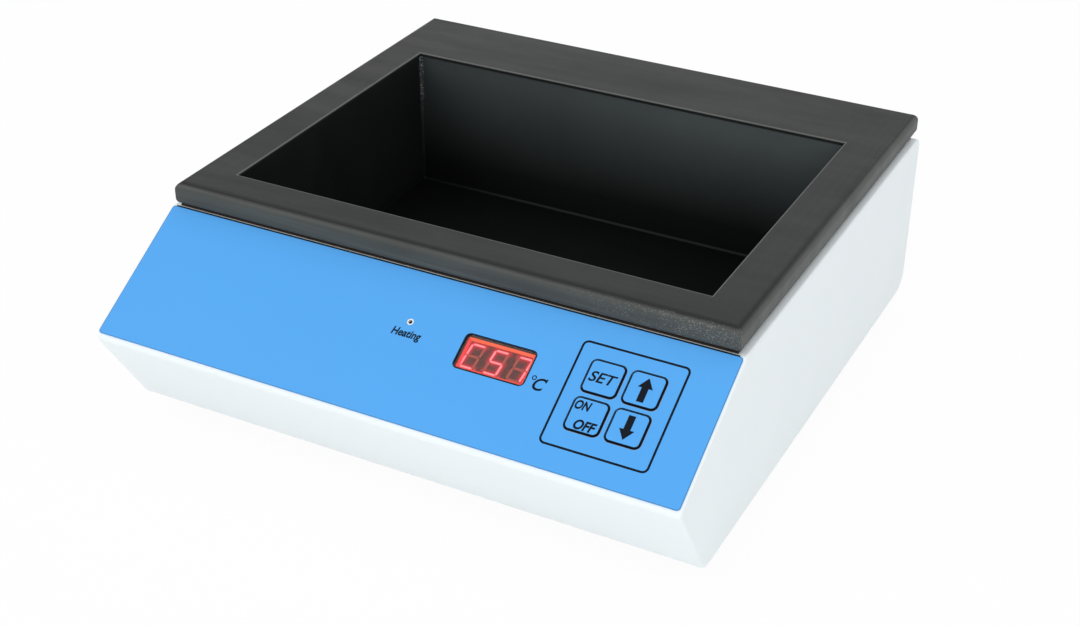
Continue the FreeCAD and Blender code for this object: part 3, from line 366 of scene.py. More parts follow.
def islands(node):
    """Lowest and highest corner of each separate solid of a CAD node."""
    shape = bmesh.new()
    shape.from_mesh(frame["nodes"][node].data)
    bmesh.ops.remove_doubles(shape, verts=shape.verts[:], dist=1e-6)
    left, boxes = set(shape.verts), []
    while left:
        found, edge = set(), [left.pop()]
        while edge:
            vert = edge.pop()
            found.add(vert)
            for link in vert.link_edges:
                other = link.other_vert(vert)
                if other in left:
                    left.discard(other)
                    edge.append(other)
        boxes.append(corners_of(vert.co for vert in found))
    shape.free()
    return boxes


def finish_piece(name, shape, materials, body="root", place=None, smooth=30):
    """Make the object of a finished bmesh, with its place in its mesh, riding on its body."""
    placed = panel_place() if place is None else place
    bmesh.ops.transform(shape, matrix=placed, verts=shape.verts[:])
    mesh = mesh_of(name, shape)
    mesh.shade_smooth()
    mesh.set_sharp_from_angle(angle=math.radians(smooth))
    for material in materials:
        mesh.materials.append(material)
    piece = added_object(name, mesh)
    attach(piece, body)
    return piece


def print_piece(name, shape, height=0.0, body="root", material=None):
    """Finish a shape of print, raised to a height over the panel's sheet."""
    place = panel_place() @ Matrix.Translation((0, 0, height))
    return finish_piece(name, shape, [material or ink()], body, place)


# Shader nodes

class Net:
    """Builds the nodes of one shader node tree."""

    def __init__(self, tree):
        self.nodes, self.links = tree.nodes, tree.links
        self.shader = tree.nodes.get("Principled BSDF")

    def feed(self, socket, value):
        """Set a socket to a number or a tone, or link another socket to it."""
        if isinstance(value, bpy.types.NodeSocket):
            self.links.new(value, socket)
        elif socket.type == "RGBA":
            socket.default_value = (*value, 1)
        else:
            socket.default_value = value

    def add(self, kind, inputs, **settings):
        """A new node with its settings, its inputs fed by name or number."""
        made = self.nodes.new("ShaderNode" + kind)
        for name, value in settings.items():
            setattr(made, name, value)
        for key, value in inputs.items():
            self.feed(made.inputs[key], value)
        return made

    def shade(self, inputs):
        """Feed the material's own shader."""
        for label, value in inputs.items():
            self.feed(self.shader.inputs[label], value)

    def where(self):
        """The place on the surface, in the piece's own coordinates."""
        return self.add("TexCoord", {}).outputs["Object"]

    def parts(self, vector):
        """The X, Y and Z of a place."""
        return self.add("SeparateXYZ", {"Vector": vector}).outputs

    def stretched(self, vector, factors):
        return self.add("VectorMath", {0: vector, 1: factors}, operation="MULTIPLY").outputs["Vector"]

    def noise(self, vector, scale, detail, rough=0.5):
        return self.add("TexNoise", {"Vector": vector, "Scale": scale, "Detail": detail,
                                     "Roughness": rough}).outputs["Fac"]

    def math(self, operation, first, second=0.0):
        return self.add("Math", {0: first, 1: second}, operation=operation).outputs["Value"]

    def ranged(self, value, low, high, to_low=0.0, to_high=1.0):
        """A value taken from one range to another, and held within it."""
        return self.add("MapRange", {"Value": value, "From Min": low, "From Max": high, "To Min": to_low,
                                     "To Max": to_high}).outputs["Result"]

    def near(self, value, place, reach):
        """A mask that is 1 within reach of a place on one axis."""
        away = self.math("ABSOLUTE", self.math("SUBTRACT", value, place))
        return self.ranged(away, reach * 0.6, reach, 1.0, 0.0)

    def mixed(self, factor, first, second, blend="MIX"):
        """A colour made of two, each a socket or a tone."""
        return self.add("Mix", {"Factor": factor, 6: first, 7: second}, data_type="RGBA",
                        blend_type=blend).outputs[2]

    def ramp(self, value, stops):
        """Colour over a value from 0 to 1, from places and tones."""
        ramp = self.add("ValToRGB", {"Fac": value})
        marks = ramp.color_ramp.elements
        marks[0].position, marks[1].position = stops[0][0], stops[-1][0]
        marks[0].color, marks[1].color = (*stops[0][1], 1), (*stops[-1][1], 1)
        for place, tone in stops[1:-1]:
            marks.new(place).color = (*tone, 1)
        return ramp.outputs["Color"]

    def effect(self, name, inputs):
        """The outputs of a shared effect, its group made when it is first asked for."""
        group = bpy.data.node_groups.get(name) or EFFECTS[name](name)
        return self.add("Group", inputs, node_tree=group).outputs

    def seen_directly(self):
        """1 for rays that show a surface as it is: from the camera, a mirror or through glass."""
        path = self.add("LightPath", {}).outputs
        glossy = self.math("MAXIMUM", path["Is Camera Ray"], path["Is Glossy Ray"])
        return self.math("MAXIMUM", glossy, path["Is Transmission Ray"])

    def blended(self, factor, first, second):
        """One surface or background shared out between two."""
        return self.add("MixShader", {"Fac": factor, 1: first, 2: second}).outputs["Shader"]


# Shared effects

def effect_group(name, inputs, outputs):
    """A new node group: the group, its net, the sockets that start it and those that end it."""
    group = bpy.data.node_groups.new(name, "ShaderNodeTree")
    for label, (kind, value) in inputs.items():
        socket = group.interface.new_socket(label, in_out="INPUT", socket_type="NodeSocket" + kind)
        if value is not None:
            socket.default_value = value
    for label, kind in outputs.items():
        group.interface.new_socket(label, in_out="OUTPUT", socket_type="NodeSocket" + kind)
    start, end = group.nodes.new("NodeGroupInput"), group.nodes.new("NodeGroupOutput")
    return group, Net(group), start.outputs, end.inputs


def make_grain(name):
    """Fine surface grain: a height from two sizes of noise."""
    group, net, start, end = effect_group(name, {"Vector": ("Vector", None), "Scale": ("Float", 900.0)},
                                          {"Height": "Float"})
    coarse = net.noise(start["Vector"], start["Scale"], 2.0)
    fine = net.noise(start["Vector"], net.math("MULTIPLY", start["Scale"], 3.3), 2.0)
    net.feed(end["Height"], net.math("ADD", coarse, net.math("MULTIPLY", fine, 0.35)))
    return group


def make_drift(name):
    """Slow drift of a colour over a surface, as real paint and film have."""
    group, net, start, end = effect_group(
        name, {"Vector": ("Vector", None), "Colour": ("Color", None), "Amount": ("Float", 0.05),
               "Scale": ("Float", 12.0)}, {"Colour": "Color"})
    slow = net.noise(start["Vector"], start["Scale"], 3.0)
    change = net.math("MULTIPLY", net.math("SUBTRACT", slow, 0.5), start["Amount"])
    tone = net.add("VectorMath", {0: start["Colour"], "Scale": net.math("ADD", change, 1.0)},
                   operation="SCALE")
    net.feed(end["Colour"], tone.outputs["Vector"])
    return group


def make_handling(name):
    """Marks of handling: soft wiped streaks, as a mask."""
    group, net, start, end = effect_group(name, {"Vector": ("Vector", None), "Scale": ("Float", 30.0)},
                                          {"Mask": "Float"})
    streaks = net.noise(net.stretched(start["Vector"], (0.35, 1.6, 1.0)), start["Scale"], 5.0, 0.6)
    net.feed(end["Mask"], net.ranged(streaks, 0.38, 0.68))
    return group


def make_streaks(name):
    """Streaks along the nearer outer edge of the rim, as a mask, and the distance to that edge."""
    group, net, start, end = effect_group(
        name, {"Vector": ("Vector", None), "Half Width": ("Float", 0.16), "Half Depth": ("Float", 0.134),
               "Middle": ("Float", 0.0)}, {"Mask": "Float", "Edge": "Float"})
    place = net.parts(start["Vector"])
    to_side = net.math("SUBTRACT", start["Half Width"], net.math("ABSOLUTE", place["X"]))
    ahead = net.math("ABSOLUTE", net.math("SUBTRACT", place["Y"], start["Middle"]))
    to_front = net.math("SUBTRACT", start["Half Depth"], ahead)
    fine, long = 420.0, 9.0
    along_x = net.noise(net.stretched(start["Vector"], (long, fine, fine)), 1.0, 3.0, 0.6)
    along_y = net.noise(net.stretched(start["Vector"], (fine, long, fine)), 1.0, 3.0, 0.6)
    at_side = net.math("LESS_THAN", to_side, to_front)
    streaks = net.add("Mix", {"Factor": at_side, "A": along_x, "B": along_y}).outputs["Result"]
    net.feed(end["Mask"], net.ranged(streaks, 0.3, 0.7))
    net.feed(end["Edge"], net.math("MINIMUM", to_side, to_front))
    return group


def make_specks(name):
    """Sparse bright specks, as a mask that a region can thin out: painted glints on the rim's front, and the
    bright specks high in the basin's back-left corner.
    """
    group, net, start, end = effect_group(
        name, {"Vector": ("Vector", None), "Scale": ("Float", 1500.0), "Region": ("Float", 1.0)},
        {"Mask": "Float"})
    fine = net.noise(start["Vector"], start["Scale"], 1.0)
    slow = net.noise(start["Vector"], 160.0, 2.0)
    both = net.math("ADD", fine, net.math("MULTIPLY", slow, 0.3))
    net.feed(end["Mask"], net.math("MULTIPLY", net.ranged(both, 0.74, 0.84), start["Region"]))
    return group


EFFECTS = {"Surface Grain": make_grain, "Tone Drift": make_drift, "Handling Marks": make_handling,
           "Bar Streaks": make_streaks, "Bright Specks": make_specks}


# Finishes

def finish_of(name, tone, roughness, grain=900.0, bump=0.05, drift=0.06, drift_scale=14.0, handling=0.06,
              metallic=0.0, specular=0.5, coat=0.0):
    """A procedural finish: drifting colour, handled roughness and fine grain in the normal."""
    if name in bpy.data.materials:
        return bpy.data.materials[name]
    material = bpy.data.materials.new(name)
    material.use_nodes = True
    material.diffuse_color = (*tone, 1)
    net = Net(material.node_tree)
    where = net.where()
    coloured = net.effect("Tone Drift", {"Vector": where, "Colour": tone, "Amount": drift,
                                         "Scale": drift_scale})
    marks = net.effect("Handling Marks", {"Vector": where})
    grained = net.effect("Surface Grain", {"Vector": where, "Scale": grain})
    relief = net.add("Bump", {"Strength": bump, "Distance": 0.4 * MM, "Height": grained["Height"]})
    net.shade({
        "Metallic": metallic,
        "Specular IOR Level": specular,
        "Coat Weight": coat,
        "Coat Roughness": 0.1,
        "Base Color": coloured["Colour"],
        "Roughness": net.ranged(marks["Mask"], 0.0, 1.0, roughness - handling, roughness + handling),
        "Normal": relief.outputs["Normal"],
    })
    return material


def opened_up(material):
    """A finish's net, the place on its surface, that place's parts, and its drifting colour's node."""
    net = Net(material.node_tree)
    where = net.where()
    return net, where, net.parts(where), net.shader.inputs["Base Color"].links[0].from_node


def speckled(net, where, region, base, tone):
    """A colour with bright specks in a region."""
    specks = net.effect("Bright Specks", {"Vector": where, "Region": region})
    return net.mixed(specks["Mask"], base, tone)


def rim_coating():
    """Black coating of the rim: streaks along its bars, painted glints on its front, a painted highlight
    round its opening, painted light down its outer walls and painted shade along its upper bend.
    """
    name = "Black rim coating"
    if name in bpy.data.materials:
        return bpy.data.materials[name]
    tones = bpy.context.scene.water_bath_colours
    material = finish_of(name, tones.coating, 0.47, grain=2300, bump=0.22, drift=0.30, drift_scale=26,
                         specular=0.20)
    net, where, place, drifting = opened_up(material)
    low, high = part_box("top_rim")
    streaks = net.effect("Bar Streaks", {"Vector": where, "Half Width": (high.x - low.x) / 2,
                                         "Half Depth": (high.y - low.y) / 2,
                                         "Middle": (high.y + low.y) / 2})
    # Painted light and shade by distance from the rim's outer edge: the lighter tone of painted light down
    # the outer walls, a darker band of painted shade along the upper bend, then the deck's own tone.
    stops = ((0.0, tones.skirt), (0.12, tones.skirt), (0.34, tones.bend), (0.55, tones.bend),
             (0.85, tones.coating))
    inwards = net.ranged(streaks["Edge"], 0.0, 6.5 * MM)
    net.feed(drifting.inputs["Colour"], net.ramp(inwards, stops))
    depth_of_streaks = net.ranged(streaks["Mask"], 0.0, 1.0, 0.84, 1.24)
    drawn = net.mixed(1.0, drifting.outputs["Colour"], depth_of_streaks, "MULTIPLY")
    # Painted glints: bright specks on the rim's front, towards its right end, where the coating catches the
    # light.
    on_front = net.ranged(place["Y"], low.y + 0.3 * MM, low.y + 2.6 * MM, 1.0, 0.0)
    to_right = net.ranged(place["X"], high.x * 0.35, high.x * 0.9)
    painted_glints = speckled(net, where, net.math("MULTIPLY", on_front, to_right), drawn, (0.22, 0.23, 0.23))
    # Painted highlight: a thin lighter line along the edge of the rim's opening.
    net.shade({"Base Color": net.mixed(painted_mouth_highlight(net, place), painted_glints, (0.11, 0.115, 0.11))})
    return material


def painted_mouth_highlight(net, place):
    """Mask of a painted highlight along the edge round the rim's opening, where the basin's walls begin."""
    low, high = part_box("basin")
    side = net.math("SUBTRACT", net.math("ABSOLUTE", place["X"]), high.x - BASIN_FLANGE)
    ahead = net.math("ABSOLUTE", net.math("SUBTRACT", place["Y"], (low.y + high.y) / 2))
    beyond = net.math("SUBTRACT", ahead, (high.y - low.y) / 2 - BASIN_FLANGE)
    return net.near(net.math("MAXIMUM", side, beyond), 0.2 * MM, 0.5 * MM)


def basin_coating():
    """Black coating of the basin: a painted sheen up its back wall, painted shade on its floor and bright
    specks high in its back-left corner.
    """
    name = "Black basin coating"
    if name in bpy.data.materials:
        return bpy.data.materials[name]
    tones = bpy.context.scene.water_bath_colours
    material = finish_of(name, tones.basin, 0.42, grain=2400, bump=0.16, drift=0.3, drift_scale=18,
                         specular=0.20)
    net, where, place, drifting = opened_up(material)
    low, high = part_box("basin")
    left, back, floor = low.x + BASIN_FLANGE, high.y - BASIN_FLANGE, low.z + BASIN_SHEET
    # Painted sheen up the back wall: lighter towards the top and towards the right.
    up = net.ranged(place["Z"], floor + 16 * MM, high.z - 6 * MM)
    across = net.ranged(place["X"], left, -left, 0.55, 1.15)
    on_back = net.ranged(place["Y"], back - 2 * MM, back - 0.5 * MM)
    # Painted shade: the floor and the foot of the other walls are darkened to 0.45 of the coating's tone,
    # which comes back within 3 mm of height.
    above = net.ranged(place["Z"], floor + 0.3 * MM, floor + 3 * MM)
    share = net.math("MULTIPLY", net.math("MULTIPLY", up, across), on_back)
    wall_painted_sheen = net.mixed(share, tones.basin, tones.sheen)
    floor_painted_shade = net.mixed(above, 0.45 * tones.basin, tones.basin)
    net.feed(drifting.inputs["Colour"], net.mixed(on_back, floor_painted_shade, wall_painted_sheen))
    weld = 2.2 * MM
    corner = net.math("MULTIPLY", net.near(place["X"], left, weld), net.near(place["Y"], back, weld))
    high_up = net.ranged(place["Z"], high.z - 40 * MM, high.z - 8 * MM, 0.0, 1.4)
    region = net.math("MULTIPLY", corner, high_up)
    net.shade({
        "Base Color": speckled(net, where, region, drifting.outputs["Colour"], (0.5, 0.52, 0.52)),
        "Specular IOR Level": net.ranged(place["Z"], floor + 2 * MM, floor + 14 * MM, 0.06, 0.20),
    })
    return material


def glowing(name, tone, light, strength):
    """A finish that also gives light, for the display: the lit bars' own light, and painted light on the
    unlit bars, the face and the reflector walls.
    """
    material = finish_of(name, tone, 0.4, specular=0.1)
    Net(material.node_tree).shade({"Emission Color": light, "Emission Strength": strength})
    return material


def clear_of(name, tone, refraction, specular=0.5):
    """Clear glass or plastic."""
    material = finish_of(name, tone, 0.03, grain=500.0, bump=0.004, drift=0.03, handling=0.01,
                         specular=specular)
    Net(material.node_tree).shade({"Transmission Weight": 1.0, "IOR": refraction})
    return material


def face_finish():
    """The display's face: dark, glowing with the red light that the lit bars throw on it and a faint glow for
    the light it throws back, both painted light.
    """
    tones = bpy.context.scene.water_bath_colours
    material = glowing("Display face", (0.02, 0.008, 0.006), tones.face, 1.0)
    net = Net(material.node_tree)
    glow = net.add("Attribute", {}, attribute_name="glow").outputs["Fac"]
    net.shade({"Emission Color": net.mixed(glow, tones.face, tones.halo)})
    return material


def ink():
    return finish_of("Black ink", bpy.context.scene.water_bath_colours.ink, 0.55, grain=3000, bump=0.02,
                     drift=0.3, handling=0.05, specular=0.08)


def slot_finishes():
    """The finish of each material slot of the record."""
    tones = bpy.context.scene.water_bath_colours
    return {
        "white_paint": finish_of("White powder coat", tones.paint, 0.42, grain=1500, bump=0.10, drift=0.02,
                                 drift_scale=9, handling=0.05),
        "black_coating": rim_coating(),
        "basin_coating": basin_coating(),
        "zinc_sheet": finish_of("Zinc plated sheet", (0.58, 0.59, 0.60), 0.38, grain=700, bump=0.06,
                                drift=0.12, metallic=1.0),
        "fastener_steel": finish_of("Plated steel", (0.60, 0.60, 0.61), 0.30, grain=2200, drift=0.10,
                                    metallic=1.0),
        "black_rubber": finish_of("Black rubber", (0.022, 0.022, 0.022), 0.72, grain=1900, bump=0.35,
                                  drift=0.3, specular=0.35),
        # The foam's tone carries painted shade.
        "tan_foam": finish_of("Foam strip", tones.foam, 0.85, grain=2600, bump=0.6, drift=0.4, specular=0.2),
        "blue_film": finish_of("Blue film", tones.film, 0.36, grain=2400, drift=0.05, drift_scale=7,
                               handling=0.05, specular=0.42),
        "red_filter": clear_of("Red filter", (1.0, 0.80, 0.78), 1.45, 0.04),
        "display_plastic": finish_of("Display plastic", (0.06, 0.012, 0.01), 0.5),
        "lamp_plastic": finish_of("Lamp plastic", (0.030, 0.026, 0.026), 0.16, coat=0.5, handling=0.02),
        "white_nylon": finish_of("White nylon", (0.78, 0.78, 0.74), 0.5, bump=0.08),
        "black_plastic": finish_of("Black moulded plastic", (0.02, 0.02, 0.021), 0.48, grain=2200, bump=0.22,
                                   drift=0.25),
        "board_laminate": finish_of("Board laminate", (0.02, 0.17, 0.07), 0.32, coat=0.3),
        "core_steel": finish_of("Core laminations", (0.20, 0.20, 0.21), 0.45, metallic=0.8),
        "winding_tape": finish_of("Winding tape", (0.72, 0.54, 0.10), 0.35),
        "sink_aluminium": finish_of("Extruded aluminium", (0.62, 0.63, 0.64), 0.36, metallic=1.0),
        "terminal_green": finish_of("Terminal green", (0.04, 0.30, 0.12), 0.42),
        "heater_silicone": finish_of("Heater silicone", (0.45, 0.11, 0.03), 0.6, bump=0.2),
        "ceramic_blanket": finish_of("Ceramic blanket", (0.82, 0.81, 0.77), 0.95, bump=0.8),
        "nickel": finish_of("Nickel plate", (0.70, 0.68, 0.64), 0.22, metallic=1.0),
        "fuse_glass": clear_of("Fuse glass", (0.95, 0.97, 0.96), 1.5),
        "ribbon_plastic": finish_of("Grey ribbon", (0.48, 0.49, 0.50), 0.45),
        "lead_black": finish_of("Black sheath", (0.025, 0.025, 0.026), 0.5, bump=0.15),
        "wire_white": finish_of("White sleeve", (0.76, 0.74, 0.70), 0.55, bump=0.12),
    }


def smooth_node(piece):
    """Round shading on a CAD node's curved walls, with crisp edges, through modifiers alone."""
    piece.data.polygons.foreach_set("use_smooth", [True] * len(piece.data.polygons))
    weld = piece.modifiers.new("Weld seams", "WELD")
    weld.merge_threshold = 2e-6
    split = piece.modifiers.new("Split edges", "EDGE_SPLIT")
    split.split_angle = math.radians(32)
    split.use_edge_sharp = False
    weight = piece.modifiers.new("Weight normals", "WEIGHTED_NORMAL")
    weight.mode = "FACE_AREA"
    weight.weight = 60


# One operator for each group of pieces, and one for the stage

class WATERBATH_OT_finishes(bpy.types.Operator):
    """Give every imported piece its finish"""

    bl_idname = "water_bath.finishes"
    bl_label = "Finish packed pieces"

    def execute(self, context):
        finishes = slot_finishes()
        slots = {part["node"]: part["material_slot"] for part in frame["record"]["subparts"]}
        for name, piece in frame["nodes"].items():
            for slot in piece.material_slots:
                slot.material = finishes[slots[name]]
            smooth_node(piece)
        return {"FINISHED"}


class WATERBATH_OT_film_print(bpy.types.Operator):
    """Print the lines of the film: painted shade along its edge, the keypad frame, the key and window
    outlines
    """

    bl_idname = "water_bath.film_print"
    bl_label = "Film print"

    def execute(self, context):
        sizes = context.scene.water_bath_panel
        tones = context.scene.water_bath_colours
        self.film_edge_shade(sizes, finish_of("Film cut edge", tones.film_edge_shade, 0.4, drift=0.1))
        keys = [(name, *panel_span(name + "_key")) for name in KEY_NAMES]
        self.keypad_frame(sizes, keys)
        shade = finish_of("Key shade", tones.shade, 0.5, drift=0.1)
        for name, low, high in keys:
            self.key_lines(sizes, name, low, high, shade)
        self.window_lines(sizes)
        return {"FINISHED"}

    def film_edge_shade(self, sizes, tone):
        """Painted shade along the film's edge: a darker line round it, and a black strip of painted shadow
        that closes the gap to the strip of foam.
        """
        low, high = panel_span("panel_overlay")
        edge = printed_ring(area_of(low, high), sizes.film_sheet, sizes.film_corner, sizes.edge_line,
                            sizes.ink / 3)
        print_piece("film_edge_line", edge, material=tone)
        # Painted shadow: a black strip from the film's top edge up to the foam, where there is shade under
        # the rim.
        x_span = (low.x + sizes.film_corner, high.x - sizes.film_corner)
        s_span = (high.y - sizes.edge_line, high.y + sizes.film_shadow_reach)
        border = flat_plate((x_span, s_span), 0.05 * MM, 0.2 * MM)
        thicken(border, sizes.film_sheet - 0.02 * MM)
        print_piece("film_top_shadow_strip", border)

    def keypad_frame(self, sizes, keys):
        x_span = (min(low.x for name, low, high in keys) - sizes.frame_border_x,
                  max(high.x for name, low, high in keys) + sizes.frame_border_x)
        s_span = (min(low.y for name, low, high in keys) - sizes.frame_border_low,
                  max(high.y for name, low, high in keys) + sizes.frame_border_top)
        outline = printed_ring((x_span, s_span), sizes.film_sheet, sizes.frame_corner, sizes.frame_line,
                               sizes.ink)
        print_piece("keypad_frame_line", outline)

    def key_lines(self, sizes, name, low, high, shade_tone):
        """A key's dark liner low in its slot, its line on the film and the line's soft shade."""
        liner = printed_ring(area_of(low, high, sizes.key_slot - 0.02 * MM), 0.01 * MM,
                             sizes.key_corner + sizes.key_slot, sizes.key_slot + sizes.key_band, sizes.ink)
        print_piece(name + "_key_liner", liner)
        gap = sizes.key_line + sizes.key_slot
        ring = printed_ring(area_of(low, high, gap), sizes.film_sheet, sizes.key_corner + gap,
                            sizes.key_line, sizes.ink)
        print_piece(name + "_key_line", ring)
        slip = Vector((sizes.key_shade / 2, -sizes.key_shade / 2, 0))
        reach = gap + sizes.key_shade / 2
        shade = printed_ring(area_of(low + slip, high + slip, reach), sizes.film_sheet,
                             sizes.key_corner + reach, sizes.key_shade + sizes.key_line / 2, sizes.ink / 3)
        print_piece(name + "_key_shade", shade, material=shade_tone)

    def window_lines(self, sizes):
        """The line round the window, with the lining down its edge."""
        low, high = panel_span("display_window")
        top, reach = sizes.film_sheet, sizes.window_line + 0.1 * MM
        ring = printed_ring(area_of(low, high, reach), top, sizes.window_corner + reach,
                            sizes.window_line, sizes.ink)
        join_in(ring, printed_ring(area_of(low, high), high.z, sizes.window_corner, sizes.window_lining,
                                   top - high.z))
        print_piece("window_line", ring)


class WATERBATH_OT_keys(bpy.types.Operator):
    """Make the four embossed key pads, each with its printed edge"""

    bl_idname = "water_bath.keys"
    bl_label = "Keys"

    def execute(self, context):
        sizes = context.scene.water_bath_panel
        finishes = [slot_finishes()["blue_film"], ink()]
        for name in KEY_NAMES:
            pad = self.pad(sizes, *panel_span(name + "_key"))
            made = finish_piece(name + "_pad", pad, finishes, name + "_button", smooth=40)
            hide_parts(name + "_key")
        return {"FINISHED"}

    def pad(self, sizes, low, high):
        """A pad with a rounded edge, an inked band and a crown raised in three steps."""
        base, shoulder = low.z - sizes.key_skirt, high.z - sizes.key_crown
        pad = flat_plate(area_of(low, high), base, sizes.key_corner)
        thicken(pad, shoulder - base)
        rim = [edge for edge in pad.edges if all(vert.co.z > shoulder - 1e-6 for vert in edge.verts)]
        bmesh.ops.bevel(pad, geom=rim, offset=sizes.key_edge, offset_type="OFFSET", segments=3,
                        profile=0.5, affect="EDGES", material=-1)
        top = [face for face in pad.faces if face.normal.z > 0.99 and face.calc_center_median().z > base]
        inset(pad, top, sizes.key_band)
        for face in pad.faces:
            face.material_index = int(face not in top)
        for step in (0.5, 0.6, 0.7):
            tint(inset(pad, top, step * MM, sizes.key_crown / 3), 0)
        return pad


class WATERBATH_OT_legends(bpy.types.Operator):
    """Print the words and arrows of the panel and keys"""

    bl_idname = "water_bath.legends"
    bl_label = "Legends"

    def execute(self, context):
        sizes = context.scene.water_bath_panel
        self.heating_word(sizes)
        self.degree_sign(sizes)
        self.key_words(sizes, "set", [("SET", (-7.1, 6.6), -2.8, 5.6, 0.017)])
        self.key_words(sizes, "on_off", [("ON", (-7.6, 0.4), 2.4, 4.6, 0.036),
                                         ("OFF", (-4.2, 6.9), -7.4, 5.0, 0.036)])
        self.key_arrow(sizes, "up", 1)
        self.key_arrow(sizes, "down", -1)
        return {"FINISHED"}

    def heating_word(self, sizes):
        """The lamp's word, under the lamp."""
        low, high = panel_span("heating_lamp")
        x, s = (low.x + high.x) / 2, (low.y + high.y) / 2
        words = lettering("Heating", (x - 7.1 * MM, x + 9.2 * MM), s - 8.4 * MM, 4.3 * MM, 0.16, 0.027,
                          sizes.ink)
        print_piece("heating_legend", words, sizes.film_sheet)

    def degree_sign(self, sizes):
        """The sign of degrees Celsius, right of the window: a letter with a serif, and a ring."""
        low, high = panel_span("display_window")
        right, foot = high.x, low.y
        sign = lettering("C", (right + 4.5 * MM, right + 11.0 * MM), foot + 0.1 * MM, 6.8 * MM, 0.26, 0.018,
                         sizes.ink)
        serif = ((10.5, 6.9), (11.1, 6.9), (10.6, 4.7), (10.0, 4.9))
        join_in(sign, slab([(right + x * MM, foot + s * MM) for x, s in serif], 0, sizes.ink))
        degree = flat_disc((right + 3.9 * MM, foot + 6.0 * MM, 0), 1.25 * MM, 20)
        join_in(sign, band(degree, 0.5 * MM, sizes.ink))
        print_piece("degree_legend", sign, sizes.film_sheet)

    def key_middle(self, name):
        low, high = panel_span(name + "_key")
        return (low.x + high.x) / 2, (low.y + high.y) / 2, high.z

    def key_words(self, sizes, name, words):
        """Words on a key, each with its span, baseline and capitals in millimetres and its weight."""
        x, s, top = self.key_middle(name)
        legend = bmesh.new()
        for text, (left, right), baseline, cap, weight in words:
            join_in(legend, lettering(text, (x + left * MM, x + right * MM), s + baseline * MM, cap * MM,
                                      0.20, weight, sizes.ink))
        print_piece(name + "_legend", legend, top, name + "_button")

    def key_arrow(self, sizes, name, turn):
        """A solid arrow on a key, up the slope for a turn of 1 and down for -1."""
        x, s, top = self.key_middle(name)
        middle, tip, neck, tail = x + 0.05 * MM, s + turn * 6.3 * MM, s + turn * 0.9 * MM, s - turn * 6.5 * MM
        shaft, head = 1.75 * MM, 3.8 * MM
        outline = [(middle - shaft, tail), (middle - shaft, neck), (middle - head, neck), (middle, tip),
                   (middle + head, neck), (middle + shaft, neck), (middle + shaft, tail)]
        print_piece(name + "_legend", slab(outline, 0, sizes.ink), top, name + "_button")


def gap_to_line(point, line):
    """Distance from a flat point to a line between two flat points."""
    start, end = line
    along = end - start
    share = max(0.0, min(1.0, (point - start).dot(along) / along.length_squared))
    return (point - start - along * share).length


